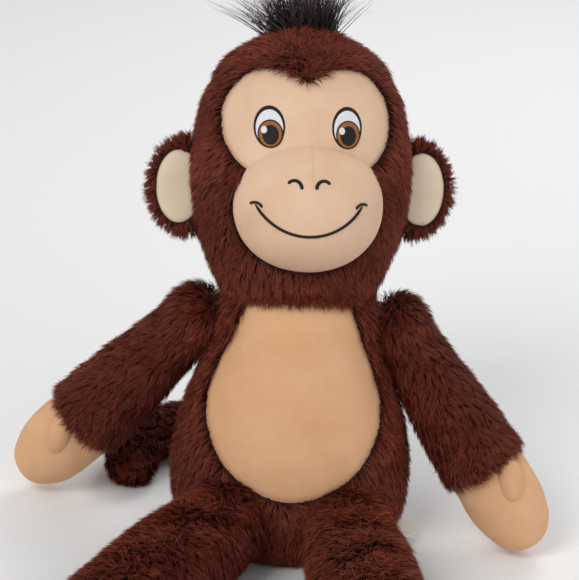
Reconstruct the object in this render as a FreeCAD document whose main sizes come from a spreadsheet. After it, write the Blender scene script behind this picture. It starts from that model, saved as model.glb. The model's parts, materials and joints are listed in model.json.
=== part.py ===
"""Seated stuffed monkey, in millimetres, as a FreeCAD macro.

+Z is up and the monkey faces -Y, so its left side is at +X. The origin is the middle of the flat seat, on
the surface that it sits on. The torso, the head and each limb are modelled upright in a frame of their
own, and the Placement of each finished piece sets it into the seated pose. Every fabric skin is the space
between an outer form and a core one fabric thickness smaller. It is cut into the panels that are sewn
together, and the stuffing is the core. A limb ends in a ball that turns in a round hollow, and a thin seam
allowance lies between the two.
"""
import FreeCAD, Part

import os
import re

import Sketcher
from FreeCAD import Placement, Rotation, Vector

ORIGIN = Vector(0, 0, 0)
X_AXIS = Vector(1, 0, 0)
Y_AXIS = Vector(0, 1, 0)
Z_AXIS = Vector(0, 0, 1)
SIDES = (("left", 1), ("right", -1))

# What is added to a form's radii: nothing for the skin's outside, and so on.
OUTSIDE = "+ 0"
CORE = "- fabric"
THREAD = "+ thread"

# alias, value in millimetres, degrees or as a share, what it is
DIMENSIONS = [
    ("fabric", 3, "thickness of the pile fabric and its backing"),
    ("thread", 0.8, "height of the embroidery above the cloth"),
    ("joint_gap", 1.6, "room round a limb's ball, which holds the seam allowance"),
    ("seam_inset", 0.3, "clear room each side of a seam allowance"),
    ("cutter", 400, "size of the blocks that only cut"),
    ("spine_lean", 16, "how far the seated back leans from upright"),
    ("tuck_rise", -16, "torso section under the seat"),
    ("tuck_halfwidth", 26, "its half width"),
    ("tuck_halfdepth", 22, "its half depth"),
    ("base_rise", -3, "torso section at the seat"),
    ("base_halfwidth", 46, "its half width"),
    ("base_halfdepth", 41, "its half depth"),
    ("rump_rise", 12, "torso section above the seat"),
    ("rump_halfwidth", 59, "its half width"),
    ("rump_halfdepth", 50, "its half depth"),
    ("hip_rise", 40, "widest torso section"),
    ("hip_halfwidth", 65, "its half width"),
    ("hip_halfdepth", 54, "its half depth"),
    ("waist_rise", 70, "torso section at the waist"),
    ("waist_halfwidth", 61, "its half width"),
    ("waist_halfdepth", 52, "its half depth"),
    ("chest_rise", 98, "torso section at the chest"),
    ("chest_halfwidth", 52, "its half width"),
    ("chest_halfdepth", 48, "its half depth"),
    ("neck_rise", 118, "height of the neck's pivot, the middle of the ball that the head turns on"),
    ("neck_radius", 46, "radius of that ball"),
    ("neck_seam_low", 24, "lower edge of the neck's seam allowance, above the pivot"),
    ("neck_seam_high", 33, "its upper edge"),
    ("belly_rise", 80, "middle of the round lower end of the belly patch"),
    ("belly_radius", 50, "radius of that end"),
    ("belly_top_rise", 150, "top of the belly patch, under the chin"),
    ("belly_top_halfwidth", 31, "half width of the belly patch at its top"),
    ("stitch_count", 5, "closing stitches up the back"),
    ("stitch_pitch", 10, "distance between them"),
    ("stitch_first", 50, "height of the lowest"),
    ("stitch_halflength", 3.2, "half length of a stitch"),
    ("stitch_width", 1.4, "width of a stitch"),
    ("label_length", 26, "length of the blank label with the part in the seam"),
    ("label_width", 16, "width of the label"),
    ("label_thickness", 0.8, "thickness of the folded label"),
    ("label_droop", 12, "slope of the label"),
    ("label_rise", 12, "height of the label's root above the surface"),
    ("label_root", 52, "sideways place of the label's root"),
    ("rim_rise", 26, "head section at its lower rim, above the neck's pivot"),
    ("rim_halfwidth", 41, "its half width"),
    ("jaw_rise", 42, "head section at the jaw"),
    ("jaw_halfwidth", 48, "its half width"),
    ("cheek_rise", 62, "head section at the cheeks"),
    ("cheek_halfwidth", 55, "its half width"),
    ("temple_rise", 90, "widest head section, through the ears"),
    ("temple_halfwidth", 59.5, "its half width"),
    ("brow_rise", 116, "head section at the brow"),
    ("brow_halfwidth", 57.5, "its half width"),
    ("crown_rise", 141, "head section at the crown"),
    ("crown_halfwidth", 50, "its half width"),
    ("dome_rise", 160, "head section near the top"),
    ("dome_halfwidth", 37, "its half width"),
    ("tip_rise", 172, "topmost head section"),
    ("tip_halfwidth", 16, "its half width"),
    ("head_depth", 0.92, "depth of the head as a share of its width"),
    ("head_yaw", 4, "turn of the head towards its left"),
    ("head_roll", -2, "tilt of the head against the spine"),
    ("gusset_halfwidth", 20, "half width of the strip down the back of the head"),
    ("lobe_offset", 20, "sideways place of each lobe of the face patch"),
    ("lobe_rise", 125, "height of the lobes above the neck's pivot"),
    ("lobe_halfwidth", 27.5, "half width of a lobe"),
    ("lobe_halfheight", 30, "half height of a lobe"),
    ("muzzle_rise", 77.5, "middle of the muzzle above the neck's pivot"),
    ("muzzle_forward", 38, "middle of the muzzle in front of the head's axis"),
    ("muzzle_halfwidth", 42, "half width of the muzzle"),
    ("muzzle_halfdepth", 37, "half depth of the muzzle"),
    ("muzzle_halfheight", 36, "half height of the muzzle"),
    ("eye_offset", 21.5, "sideways place of each eye"),
    ("eye_rise", 122.5, "middle of an eye above the neck's pivot"),
    ("eye_halfwidth", 8.8, "half width of the eye with its outline"),
    ("eye_halfheight", 11.9, "half height of the eye with its outline"),
    ("lash", 1.3, "width of the outline"),
    ("iris_inset", 0.9, "how far the iris sits towards the nose"),
    ("iris_drop", 3.2, "how far the iris sits below the eye's middle"),
    ("iris_halfwidth", 6.6, "half width of the iris"),
    ("iris_halfheight", 7.2, "half height of the iris"),
    ("pupil_inset", 1.6, "how far the pupil sits towards the nose"),
    ("pupil_drop", 4.2, "how far the pupil sits below the eye's middle"),
    ("pupil_halfwidth", 4.2, "half width of the pupil"),
    ("pupil_halfheight", 5.6, "half height of the pupil"),
    ("glint_radius", 1.7, "radius of the white glint"),
    ("glint_shift", 3.6, "how far each glint sits towards the monkey's right of its pupil"),
    ("glint_lift", 2.6, "how far the glint sits above the pupil's middle"),
    ("nostril_offset", 7.8, "sideways place of each nostril's arc"),
    ("nostril_rise", 90.5, "middle of a nostril's arc above the neck's pivot"),
    ("nostril_radius", 4.6, "radius of a nostril's arc"),
    ("nostril_width", 1.9, "width of a nostril's stroke"),
    ("nostril_sweep", 135, "length of a nostril's arc"),
    ("smile_radius", 34, "radius of the smile"),
    ("smile_rise", 98, "middle of the smile's arc above the neck's pivot"),
    ("smile_width", 1.6, "width of the smile's stroke"),
    ("smile_sweep", 120, "length of the smile's arc"),
    ("tuft_sink", 10, "how far the tuft's root lies below the head's tip section"),
    ("tuft_height", 54, "height of the hair tuft with that root"),
    ("tuft_root_radius", 13, "radius of the tuft at its root"),
    ("tuft_top_radius", 30, "radius of the tuft at its top"),
    ("ear_hinge", 61, "sideways place of the ear's rolled root"),
    ("ear_root_radius", 4.6, "radius of that root"),
    ("ear_root_height", 42, "height of that root"),
    ("ear_middle", 65, "sideways place of the ear's middle"),
    ("ear_start", 64, "where the ear leaves its root"),
    ("ear_halfwidth", 21, "half width of the whole ear oval"),
    ("ear_halfdepth", 5.8, "half thickness of the ear"),
    ("ear_halfheight", 26, "half height of the ear"),
    ("ear_rim", 5.5, "width of the fur rim round the ear's lining"),
    ("lining_start", 67.5, "sideways place of the lining's inner edge"),
    ("shoulder_offset", 58, "sideways place of the shoulder's pivot"),
    ("shoulder_rise", 126, "height of the shoulder's pivot up the spine"),
    ("shoulder_seam_edge", 14.2, "edge of the shoulder's seam allowance, from the pivot"),
    ("arm_radius", 16.5, "radius of the arm's ball"),
    ("upper_arm_radius", 13.5, "radius of the sleeve where it leaves the shoulder's ball"),
    ("cuff_radius", 19.5, "radius of the sleeve at the cuff"),
    ("sleeve_length", 94, "shoulder's pivot to the cuff"),
    ("hand_middle", 112, "shoulder's pivot to the middle of the hand"),
    ("hand_halfwidth", 23, "half width of the hand"),
    ("hand_halfdepth", 18, "half depth of the hand"),
    ("hand_halflength", 38, "half length of the hand with the part up the sleeve"),
    ("thumb_place", 107, "shoulder's pivot to the thumb's middle"),
    ("thumb_inward", 5, "how far the thumb sits towards the body"),
    ("thumb_forward", 16, "how far the thumb sits in front of the hand's axis"),
    ("thumb_radius", 7, "radius of the thumb"),
    ("thumb_halflength", 13, "half length of the thumb"),
    ("arm_angle_left", 35, "angle between the spine and the left arm"),
    ("arm_angle_right", 42, "angle between the spine and the right arm"),
    ("arm_forward_left", 6, "how far the left arm hangs in front of the torso"),
    ("arm_forward_right", -18, "the same for the right arm, which hangs behind it"),
    ("hip_offset", 34, "sideways place of the hip's pivot"),
    ("hip_forward", 38, "hip's pivot in front of the seat's middle"),
    ("leg_height", 27, "height of the leg's axis above the surface"),
    ("hip_radius", 22, "radius of the leg's ball"),
    ("hip_seam_edge", 17, "edge of the hip's seam allowance, from the pivot"),
    ("thigh_radius", 20, "radius of the leg at its narrow root"),
    ("calf_place", 42, "hip's pivot to where the leg is full"),
    ("calf_radius", 27, "radius of the leg where it is full"),
    ("ankle_place", 158, "hip's pivot to the end of the fur"),
    ("ankle_radius", 25.5, "radius of the leg at the end of the fur"),
    ("foot_middle", 170, "hip's pivot to the middle of the foot"),
    ("foot_lift", 7, "how far the foot's middle stands above the leg's axis"),
    ("foot_halfwidth", 26, "half width of the foot"),
    ("foot_halfdepth", 33, "half height of the foot"),
    ("foot_halflength", 30, "half length of the foot with the part in the leg"),
    ("sole_place", 187, "hip's pivot to the flat sole"),
    ("splay_left", 8, "outward turn of the left leg"),
    ("splay_right", 27, "outward turn of the right leg"),
    ("tail_back", 61, "tail's pivot behind the seat's middle"),
    ("tail_radius", 13, "radius of the tail"),
    ("tail_curl", 48, "radius of the tail's curl"),
    ("tail_sweep", 200, "how far the tail curls"),
]

doc = FreeCAD.newDocument("stuffed_monkey")
sheet = doc.addObject("Spreadsheet::Sheet", "Dims")
for row, (alias, value, meaning) in enumerate(DIMENSIONS, 1):
    sheet.set(f"A{row}", meaning)
    sheet.set(f"B{row}", str(value))
    sheet.setAlias(f"B{row}", alias)
doc.recompute()

subparts = []


def size(alias):
    """The number that the sheet holds under an alias, for places and directions."""
    return float(sheet.get(alias))


def bind(piece, **formulas):
    """Ties sizes of an object to formulas of the sheet's cells."""
    for name, formula in formulas.items():
        piece.setExpression(name, re.sub(r"\b([a-z]\w*)", r"Dims.\1", formula))
    return piece


def set_rise(piece, formula):
    """Ties the height of an object to a formula of the sheet's cells."""
    return bind(piece, **{"Placement.Base.z": formula})


def primitive(kind, name, at=ORIGIN, turn=Rotation(), **formulas):
    """A Part primitive with its sizes bound to the sheet."""
    piece = bind(doc.addObject("Part::" + kind, name), **formulas)
    piece.Placement = Placement(at, turn)
    return piece


def cutter_block(name, low_corner, frame=Placement()):
    """A large block whose lowest corner is at a point of a frame."""
    piece = primitive("Box", name, Length="cutter", Width="cutter", Height="cutter")
    piece.Placement = frame.multiply(Placement(Vector(*low_corner), Rotation()))
    return piece


def fuse(name, pieces):
    """One solid joined from several."""
    joined = doc.addObject("Part::MultiFuse", name)
    joined.Shapes = pieces
    return joined


def common(name, pieces):
    """What several solids share."""
    shared = doc.addObject("Part::MultiCommon", name)
    shared.Shapes = pieces
    return shared


def cut(name, base, tool):
    """One solid less another."""
    rest = doc.addObject("Part::Cut", name)
    rest.Base = base
    rest.Tool = tool
    return rest


def loft(name, sections, offset, depth=None):
    """A smooth solid through level ellipses, named by the start of their aliases.

    The offset is added to every half width and half depth. With depth, the half depth is that share of
    the half width.
    """
    rings = []
    for section in sections:
        half_depth = f"{section}_halfwidth * {depth}" if depth else f"{section}_halfdepth"
        ring = doc.addObject("Part::Ellipse", f"{name}_{section}")
        bind(ring, MajorRadius=f"{section}_halfwidth {offset}", MinorRadius=f"{half_depth} {offset}")
        rings.append(set_rise(ring, f"{section}_rise"))
    skin = doc.addObject("Part::Loft", name)
    skin.Sections = rings
    skin.Solid = True
    return skin


def ellipsoid(name, stem, at, offset=OUTSIDE, along="halfheight"):
    """An ellipsoid whose half width, half depth and half size along Z share the start of their aliases."""
    names = {"Radius1": along, "Radius2": "halfwidth", "Radius3": "halfdepth"}
    formulas = {prop: f"{stem}_{end} {offset}" for prop, end in names.items()}
    return primitive("Ellipsoid", name, at, **formulas)


def spherical_zone(name, radius, low, high):
    """A thin seam allowance just outside a ball, between two heights along its axis."""
    outer = primitive("Sphere", name + "_outer", Radius=f"{radius} + joint_gap - seam_inset")
    inner = primitive("Sphere", name + "_inner", Radius=f"{radius} + seam_inset")
    drum = primitive("Cylinder", name + "_drum", Radius="cutter / 4", Height=f"{high} - {low}")
    set_rise(drum, low)
    return common(name, [cut(name + "_shell", outer, inner), drum])


def forward_ellipse(name, halfwidth, halfheight, x, z):
    """An upright elliptical prism from the middle of the head out through its front."""
    outline = doc.addObject("Part::Ellipse", name + "_outline")
    bind(outline, MajorRadius=halfheight, MinorRadius=halfwidth)
    upright = Rotation(X_AXIS, 90).multiply(Rotation(Z_AXIS, 90))
    outline.Placement = Placement(Vector(x, 0, z), upright)
    prism = doc.addObject("Part::Extrusion", name)
    prism.Base = outline
    prism.DirMode = "Custom"
    prism.Dir = Vector(0, -1, 0)
    bind(prism, LengthFwd="cutter / 4")
    prism.Solid = True
    return prism


def muzzle_arc(name, stem, x, z, first_angle):
    """The prism of a stroke on the muzzle, part of a ring that starts at an angle seen from the front."""
    turn = Rotation(X_AXIS, 90).multiply(Rotation(Z_AXIS, first_angle))
    reach = "cutter / 4"
    radius = f"{stem}_radius + {stem}_width / 2"
    place = Vector(x, -size("muzzle_forward"), z)
    outer = primitive("Cylinder", name + "_outer", place, turn, Radius=radius, Height=reach)
    bind(outer, Angle=f"{stem}_sweep")
    radius = f"{stem}_radius - {stem}_width / 2"
    inner = primitive("Cylinder", name + "_inner", place, turn, Radius=radius, Height=reach)
    return cut(name, outer, inner)


def finish_piece(piece, label, frame):
    """Adds a finished sub-part: a clean copy of a solid, set into the seated pose."""
    placed = doc.addObject("Part::Refine", label)
    placed.Source = piece
    placed.Label = label
    placed.Placement = frame.multiply(piece.Placement)
    subparts.append(placed)


# ---------------------------------------------------------------- frames of the bodies
SPINE = Placement(ORIGIN, Rotation(X_AXIS, -size("spine_lean")))
LEVEL = SPINE.inverse()
HEAD_TURN = Rotation(Z_AXIS, size("head_yaw")).multiply(Rotation(Y_AXIS, size("head_roll")))
HEAD = SPINE.multiply(Placement(Vector(0, 0, size("neck_rise")), HEAD_TURN))
HALF = size("cutter") / 2


def shoulder_pivot(sign):
    """The shoulder's pivot in the upright torso."""
    return Vector(sign * size("shoulder_offset"), 0, size("shoulder_rise"))


def arm_frame(side, sign):
    """The arm's frame: its origin at the shoulder's pivot, +Z down the arm and -Y at its front."""
    outward = Rotation(Y_AXIS, sign * (180 - size(f"arm_angle_{side}")))
    forward = Rotation(X_AXIS, -size(f"arm_forward_{side}"))
    return SPINE.multiply(Placement(shoulder_pivot(sign), forward.multiply(outward)))


def leg_frame(side, sign):
    """The leg's frame: its origin at the hip's pivot, +Z along the leg and +Y upwards."""
    pivot = Vector(sign * size("hip_offset"), -size("hip_forward"), size("leg_height"))
    splay = Rotation(Z_AXIS, sign * size(f"splay_{side}"))
    return Placement(pivot, splay.multiply(Rotation(X_AXIS, 90)))


TAIL_PIVOT = Vector(0, size("tail_back"), size("tail_radius"))

# ---------------------------------------------------------------- torso
TORSO_SECTIONS = ["tuck", "base", "rump", "hip", "waist", "chest"]
HEAD_SECTIONS = ["rim", "jaw", "cheek", "temple", "brow", "crown", "dome", "tip"]


def torso_bulk(name, offset):
    """The torso with the ball of its neck, before anything is hollowed out of it."""
    trunk = loft(name + "_trunk", TORSO_SECTIONS, offset)
    collar = bind(doc.addObject("Part::Ellipse", name + "_collar"), MajorRadius=f"neck_radius {offset}")
    bind(collar, MinorRadius=f"neck_radius {offset}")
    trunk.Sections = trunk.Sections + [set_rise(collar, "neck_rise")]
    ball = primitive("Sphere", name + "_ball", Radius=f"neck_radius {offset}")
    return fuse(name, [trunk, set_rise(ball, "neck_rise")])


def torso_hollows(name, room, seat_rise):
    """What is cut from the torso: what lies under the seat, and round hollows for the limbs."""
    hollows = [cutter_block(name + "_seat", (-HALF, -HALF, seat_rise - 2 * HALF), LEVEL)]
    balls = [("tail", "tail", LEVEL.multVec(TAIL_PIVOT))]
    for side, sign in SIDES:
        balls.append((f"shoulder_{side}", "arm", shoulder_pivot(sign)))
        balls.append((f"hip_{side}", "hip", LEVEL.multVec(leg_frame(side, sign).Base)))
    for place, stem, pivot in balls:
        hollows.append(primitive("Sphere", f"{name}_{place}", pivot, Radius=f"{stem}_radius + {room}"))
    return fuse(name, hollows)


def belly_prism():
    """The belly patch's outline, round below and narrow at the neck, run out through the front."""
    body = doc.addObject("PartDesign::Body", "belly_cutter")
    sketch = body.newObject("Sketcher::SketchObject", "belly_outline")
    planes = {plane.Role: plane for plane in body.Origin.OriginFeatures}
    sketch.AttachmentSupport = [(planes["XZ_Plane"], "")]
    sketch.MapMode = "FlatFace"
    radius, middle = size("belly_radius"), size("belly_rise")
    top, half = size("belly_top_rise"), size("belly_top_halfwidth")
    bowl = Part.Circle(Vector(0, middle, 0), Z_AXIS, radius)
    right_top, left_top = Vector(half, top, 0), Vector(-half, top, 0)
    sketch.addGeometry(Part.ArcOfCircle(bowl, 3.0, 6.4))
    sketch.addGeometry(Part.LineSegment(Vector(radius, middle, 0), right_top))
    sketch.addGeometry(Part.LineSegment(right_top, left_top))
    sketch.addGeometry(Part.LineSegment(left_top, Vector(-radius, middle, 0)))
    rules = [
        ("Tangent", 0, 2, 1, 1),
        ("Coincident", 1, 2, 2, 1),
        ("Coincident", 2, 2, 3, 1),
        ("Tangent", 3, 2, 0, 1),
        ("Horizontal", 2),
        ("PointOnObject", 0, 3, -2),
    ]
    for rule in rules:
        sketch.addConstraint(Sketcher.Constraint(*rule))
    sized = [
        (("Radius", 0, radius), "belly_radius"),
        (("DistanceY", -1, 1, 0, 3, middle), "belly_rise"),
        (("DistanceY", -1, 1, 1, 2, top), "belly_top_rise"),
        (("DistanceX", -1, 1, 1, 2, half), "belly_top_halfwidth"),
    ]
    for rule, alias in sized:
        number = sketch.addConstraint(Sketcher.Constraint(*rule))
        bind(sketch, **{f"Constraints[{number}]": alias})
    pad = body.newObject("PartDesign::Pad", "belly_pad")
    pad.Profile = sketch
    bind(pad, Length="cutter / 4")
    return body


def make_torso():
    """The torso's panels, its stuffing, the stitches that close its back and its blank label."""
    bulk = torso_bulk("torso_bulk", OUTSIDE)
    hollows = torso_hollows("torso_hollows", "joint_gap", 0)
    hull = cut("torso_hull", bulk, hollows)
    deep_hollows = torso_hollows("torso_deep_hollows", "joint_gap + fabric", size("fabric"))
    core = cut("torso_core", torso_bulk("torso_small_bulk", CORE), deep_hollows)
    skin = cut("torso_skin", hull, core)
    gusset_slab = cutter_block("gusset_slab", (-HALF, -HALF, size("fabric") - 2 * HALF), LEVEL)
    finish_piece(common("seat_panel", [skin, gusset_slab]), "seat_gusset", SPINE)
    wall = cut("torso_wall", skin, gusset_slab)
    front = common("torso_front", [wall, cutter_block("front_half", (-HALF, -2 * HALF, -HALF))])
    back = common("torso_back", [wall, cutter_block("back_half", (-HALF, 0, -HALF))])
    prism = belly_prism()
    belly = cut("belly", common("belly_field", [front, prism]), deep_hollows)
    finish_piece(belly, "belly_patch", SPINE)
    front_fur = cut("torso_front_fur", front, belly)
    for side, sign in SIDES:
        half = cutter_block(f"torso_{side}_half", (0 if sign > 0 else -2 * HALF, -HALF, -HALF))
        finish_piece(common(f"front_{side}", [front_fur, half]), f"torso_front_{side}", SPINE)
        finish_piece(common(f"back_{side}", [back, half]), f"torso_back_{side}", SPINE)
    finish_piece(core, "torso_stuffing", SPINE)
    raised = cut("stitch_layer", loft("stitch_bulk", TORSO_SECTIONS, THREAD), bulk)
    bars = []
    for number in range(int(size("stitch_count"))):
        rise = size("stitch_first") + number * size("stitch_pitch")
        corner = Vector(-size("stitch_halflength"), 0, rise)
        bar = primitive("Box", f"stitch_bar_{number}", corner, Length="stitch_halflength * 2")
        bars.append(bind(bar, Width="cutter / 4", Height="stitch_width"))
    finish_piece(common("stitches", [raised, fuse("stitch_bars", bars)]), "back_closing_stitches", SPINE)
    root = Vector(size("label_root"), -size("label_width") / 2, size("label_rise"))
    tape = primitive("Box", "label_tape", Length="label_length", Width="label_width")
    bind(tape, Height="label_thickness")
    tape.Placement = LEVEL.multiply(Placement(root, Rotation(Y_AXIS, size("label_droop"))))
    finish_piece(cut("label", tape, bulk), "blank_side_label", SPINE)


# ---------------------------------------------------------------- head
def head_form(name, offset, room):
    """The head's form, hollowed for the neck's ball and for the rolled roots of the ears."""
    hollows = [primitive("Sphere", name + "_socket", Radius=f"neck_radius + {room}")]
    for side, sign in SIDES:
        groove = primitive("Cylinder", f"{name}_groove_{side}", Vector(sign * size("ear_hinge"), 0, 0))
        bind(groove, Radius=f"ear_root_radius + {room}", Height=f"ear_root_height + 2 * ({room})")
        hollows.append(set_rise(groove, f"temple_rise - ear_root_height / 2 - ({room})"))
    whole = loft(name + "_whole", HEAD_SECTIONS, offset, "head_depth")
    return cut(name, whole, fuse(name + "_hollows", hollows))


def muzzle_form(name, offset):
    """The muzzle's ball, grown or shrunk by an offset."""
    place = Vector(0, -size("muzzle_forward"), size("muzzle_rise"))
    return ellipsoid(name, "muzzle", place, offset)


def make_eye(side, sign, layer):
    """One eye, as flat fields of thread: outline, white, iris, pupil and glint."""
    x, z = sign * size("eye_offset"), size("eye_rise")
    iris_x, iris_z = x - sign * size("iris_inset"), z - size("iris_drop")
    pupil_x, pupil_z = x - sign * size("pupil_inset"), z - size("pupil_drop")
    glint_x, glint_z = pupil_x - size("glint_shift"), pupil_z + size("glint_lift")
    fields = [
        ("eye_outline", "eye_halfwidth", "eye_halfheight", x, z),
        ("eye_white", "eye_halfwidth - lash", "eye_halfheight - lash", x, z),
        ("iris", "iris_halfwidth", "iris_halfheight", iris_x, iris_z),
        ("pupil", "pupil_halfwidth", "pupil_halfheight", pupil_x, pupil_z),
        ("glint", "glint_radius", "glint_radius * 1.001", glint_x, glint_z),
    ]
    prisms = [forward_ellipse(f"{field[0]}_{side}_prism", *field[1:]) for field in fields]
    for number, (field, *_) in enumerate(fields):
        thread = common(f"{field}_{side}_thread", [layer, prisms[number]])
        inside = prisms[number + 1 :]
        if len(inside) > 1:
            inside = [fuse(f"{field}_{side}_inside", inside)]
        if inside:
            thread = cut(f"{field}_{side}_field", thread, inside[0])
        finish_piece(thread, f"{field}_{side}", HEAD)


def make_head():
    """The head's panels, muzzle, stuffing, embroidered face and hair tuft."""
    hull = head_form("head_hull", OUTSIDE, "joint_gap")
    core = head_form("head_core", CORE, "joint_gap + fabric")
    muzzle_outer, muzzle_core = muzzle_form("muzzle_outer", OUTSIDE), muzzle_form("muzzle_core", CORE)
    wall = cut("head_wall", cut("head_skin", hull, core), muzzle_core)
    lobes = []
    for side, sign in SIDES:
        place = (sign * size("lobe_offset"), size("lobe_rise"))
        lobes.append(forward_ellipse(f"lobe_{side}", "lobe_halfwidth", "lobe_halfheight", *place))
    lobe_pair = fuse("lobes", lobes)
    finish_piece(common("face", [wall, lobe_pair]), "face_patch", HEAD)
    strip = primitive("Box", "gusset_strip", Vector(-size("gusset_halfwidth"), 0, 0))
    bind(strip, Length="gusset_halfwidth * 2", Width="cutter / 2", Height="cutter / 2")
    finish_piece(common("head_gusset", [wall, strip]), "head_back_gusset", HEAD)
    fur = cut("head_fur", wall, fuse("head_fur_tools", [lobe_pair, strip]))
    for side, sign in SIDES:
        half = cutter_block(f"head_{side}_half", (0 if sign > 0 else -2 * HALF, -HALF, -HALF))
        finish_piece(common(f"head_{side}", [fur, half]), f"head_side_{side}", HEAD)
    muzzle_skin = cut("muzzle_shell", muzzle_outer, muzzle_core)
    whole = loft("head_filled", HEAD_SECTIONS, OUTSIDE, "head_depth")
    finish_piece(cut("muzzle", muzzle_skin, whole), "muzzle_skin", HEAD)
    finish_piece(cut("muzzle_fill", muzzle_core, core), "muzzle_stuffing", HEAD)
    finish_piece(core, "head_stuffing", HEAD)
    layer = cut("face_layer", loft("face_bulk", HEAD_SECTIONS, THREAD, "head_depth"), whole)
    layer = cut("face_thread", layer, muzzle_outer)
    for side, sign in SIDES:
        make_eye(side, sign, layer)
    layer = cut("muzzle_layer", muzzle_form("muzzle_bulk", THREAD), muzzle_outer)
    nostrils = []
    for side, sign in SIDES:
        first = 15 if sign < 0 else 165 - size("nostril_sweep")
        place = (sign * size("nostril_offset"), size("nostril_rise"), first)
        nostrils.append(muzzle_arc(f"nostril_{side}", "nostril", *place))
    finish_piece(common("nostril_threads", [layer, fuse("nostril_arcs", nostrils)]), "nostrils", HEAD)
    first = 270 - size("smile_sweep") / 2
    smile = muzzle_arc("smile_arc", "smile", 0, size("smile_rise"), first)
    finish_piece(common("smile", [layer, smile]), "mouth_line", HEAD)
    tuft = primitive("Cone", "tuft_cone", Radius1="tuft_root_radius", Radius2="tuft_top_radius")
    set_rise(bind(tuft, Height="tuft_height"), "tip_rise - tuft_sink")
    finish_piece(cut("tuft", tuft, whole), "hair_tuft", HEAD)
    neck_seam = spherical_zone("neck_zone", "neck_radius", "neck_seam_low", "neck_seam_high")
    finish_piece(neck_seam, "neck_seam", HEAD)


def make_ear(side, sign):
    """One flat ear on its rolled root, with a lining let into the front of the fur."""
    middle = Vector(sign * size("ear_middle"), 0, size("temple_rise"))
    start = size("ear_start")
    outward = (start if sign > 0 else -start - 2 * HALF, -HALF, -HALF)
    oval = primitive("Ellipsoid", f"ear_{side}_oval", middle, Rotation(Z_AXIS, 90), Radius1="ear_halfheight")
    bind(oval, Radius2="ear_halfdepth", Radius3="ear_halfwidth")
    flap = common(f"ear_{side}_flap", [oval, cutter_block(f"ear_{side}_outer_half", outward)])
    root = primitive("Cylinder", f"ear_{side}_root", Vector(sign * size("ear_hinge"), 0, 0))
    bind(root, Radius="ear_root_radius", Height="ear_root_height")
    set_rise(root, "temple_rise - ear_root_height / 2")
    pocket = forward_ellipse(
        f"ear_{side}_pocket",
        "ear_halfwidth - ear_rim",
        "ear_halfheight - ear_rim",
        sign * (size("ear_middle") + size("ear_rim") / 2),
        size("temple_rise"),
    )
    begin = size("lining_start")
    beyond = (begin if sign > 0 else -begin - 2 * HALF, -2 * HALF, -HALF)
    pocket = common(f"ear_{side}_inset", [pocket, cutter_block(f"ear_{side}_lining_block", beyond)])
    finish_piece(common(f"ear_{side}_lining", [flap, pocket]), f"ear_lining_{side}", HEAD)
    whole = fuse(f"ear_{side}_whole", [flap, root])
    finish_piece(cut(f"ear_{side}_fur", whole, pocket), f"ear_fur_{side}", HEAD)


# ---------------------------------------------------------------- limbs
def sleeve_form(name, offset, last):
    """The arm's ball and its sleeve, as far as a place along the arm."""
    ball = primitive("Sphere", name + "_ball", Radius=f"arm_radius {offset}")
    tube = primitive("Cone", name + "_tube", Radius1=f"upper_arm_radius {offset}", Height=last)
    return fuse(name, [ball, bind(tube, Radius2=f"cuff_radius {offset}")])


def hand_form(name, offset):
    """The mitten, from the cuff to the finger tips."""
    middle = Vector(0, 0, size("hand_middle"))
    mitten = ellipsoid(name + "_mitten", "hand", middle, offset, "halflength")
    return common(name, [mitten, cutter_block(name + "_end", (-HALF, -HALF, size("sleeve_length")))])


def make_arm(side, sign):
    """One arm: furred sleeve, hand of two halves, thumb, stuffing and its seam allowance."""
    stem = f"arm_{side}"
    frame = arm_frame(side, sign)
    sleeve, sleeve_core = [
        sleeve_form(f"{stem}_{name}", offset, "sleeve_length")
        for name, offset in (("sleeve", OUTSIDE), ("sleeve_core", CORE))
    ]
    finish_piece(cut(f"{stem}_fur", sleeve, sleeve_core), f"sleeve_fur_{side}", frame)
    hand, hand_core = hand_form(f"{stem}_hand", OUTSIDE), hand_form(f"{stem}_hand_core", CORE)
    glove = cut(f"{stem}_glove", hand, hand_core)
    for half, low in (("palm", -2 * HALF), ("hand_back", 0)):
        block = cutter_block(f"{stem}_{half}_half", (-HALF, low, -HALF))
        finish_piece(common(f"{stem}_{half}", [glove, block]), f"{half}_{side}", frame)
    finish_piece(fuse(f"{stem}_core", [sleeve_core, hand_core]), f"arm_stuffing_{side}", frame)
    place = Vector(-sign * size("thumb_inward"), -size("thumb_forward"), size("thumb_place"))
    thumb = primitive("Ellipsoid", f"{stem}_thumb_oval", place, Radius1="thumb_halflength")
    bind(thumb, Radius2="thumb_radius", Radius3="thumb_radius")
    finish_piece(cut(f"{stem}_thumb", thumb, hand), f"thumb_{side}", frame)
    inward = Rotation(Y_AXIS, -90 * sign)
    seam = spherical_zone(f"{stem}_zone", "arm_radius", "shoulder_seam_edge", "arm_radius * 2")
    shoulder = SPINE.multiply(Placement(shoulder_pivot(sign), inward))
    finish_piece(seam, f"shoulder_seam_{side}", shoulder)


def shin_form(name, offset):
    """The leg's ball, its narrow root and its full part, as far as the ankle."""
    ball = primitive("Sphere", name + "_ball", Radius=f"hip_radius {offset}")
    root = primitive("Cone", name + "_root", Radius1=f"thigh_radius {offset}", Height="calf_place")
    bind(root, Radius2=f"calf_radius {offset}")
    shin = primitive("Cone", name + "_shin", Radius1=f"calf_radius {offset}")
    bind(shin, Radius2=f"ankle_radius {offset}", Height="ankle_place - calf_place")
    return fuse(name, [ball, root, set_rise(shin, "calf_place")])


def foot_form(name, offset, sole):
    """The foot, from the ankle to a flat sole."""
    place = Vector(0, size("foot_lift"), size("foot_middle"))
    slab = primitive("Box", name + "_span", Vector(-HALF, -HALF, size("ankle_place")))
    bind(slab, Length="cutter", Width="cutter", Height=f"{sole} - ankle_place")
    oval = ellipsoid(name + "_oval", "foot", place, offset, "halflength")
    return common(name, [oval, slab])


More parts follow.
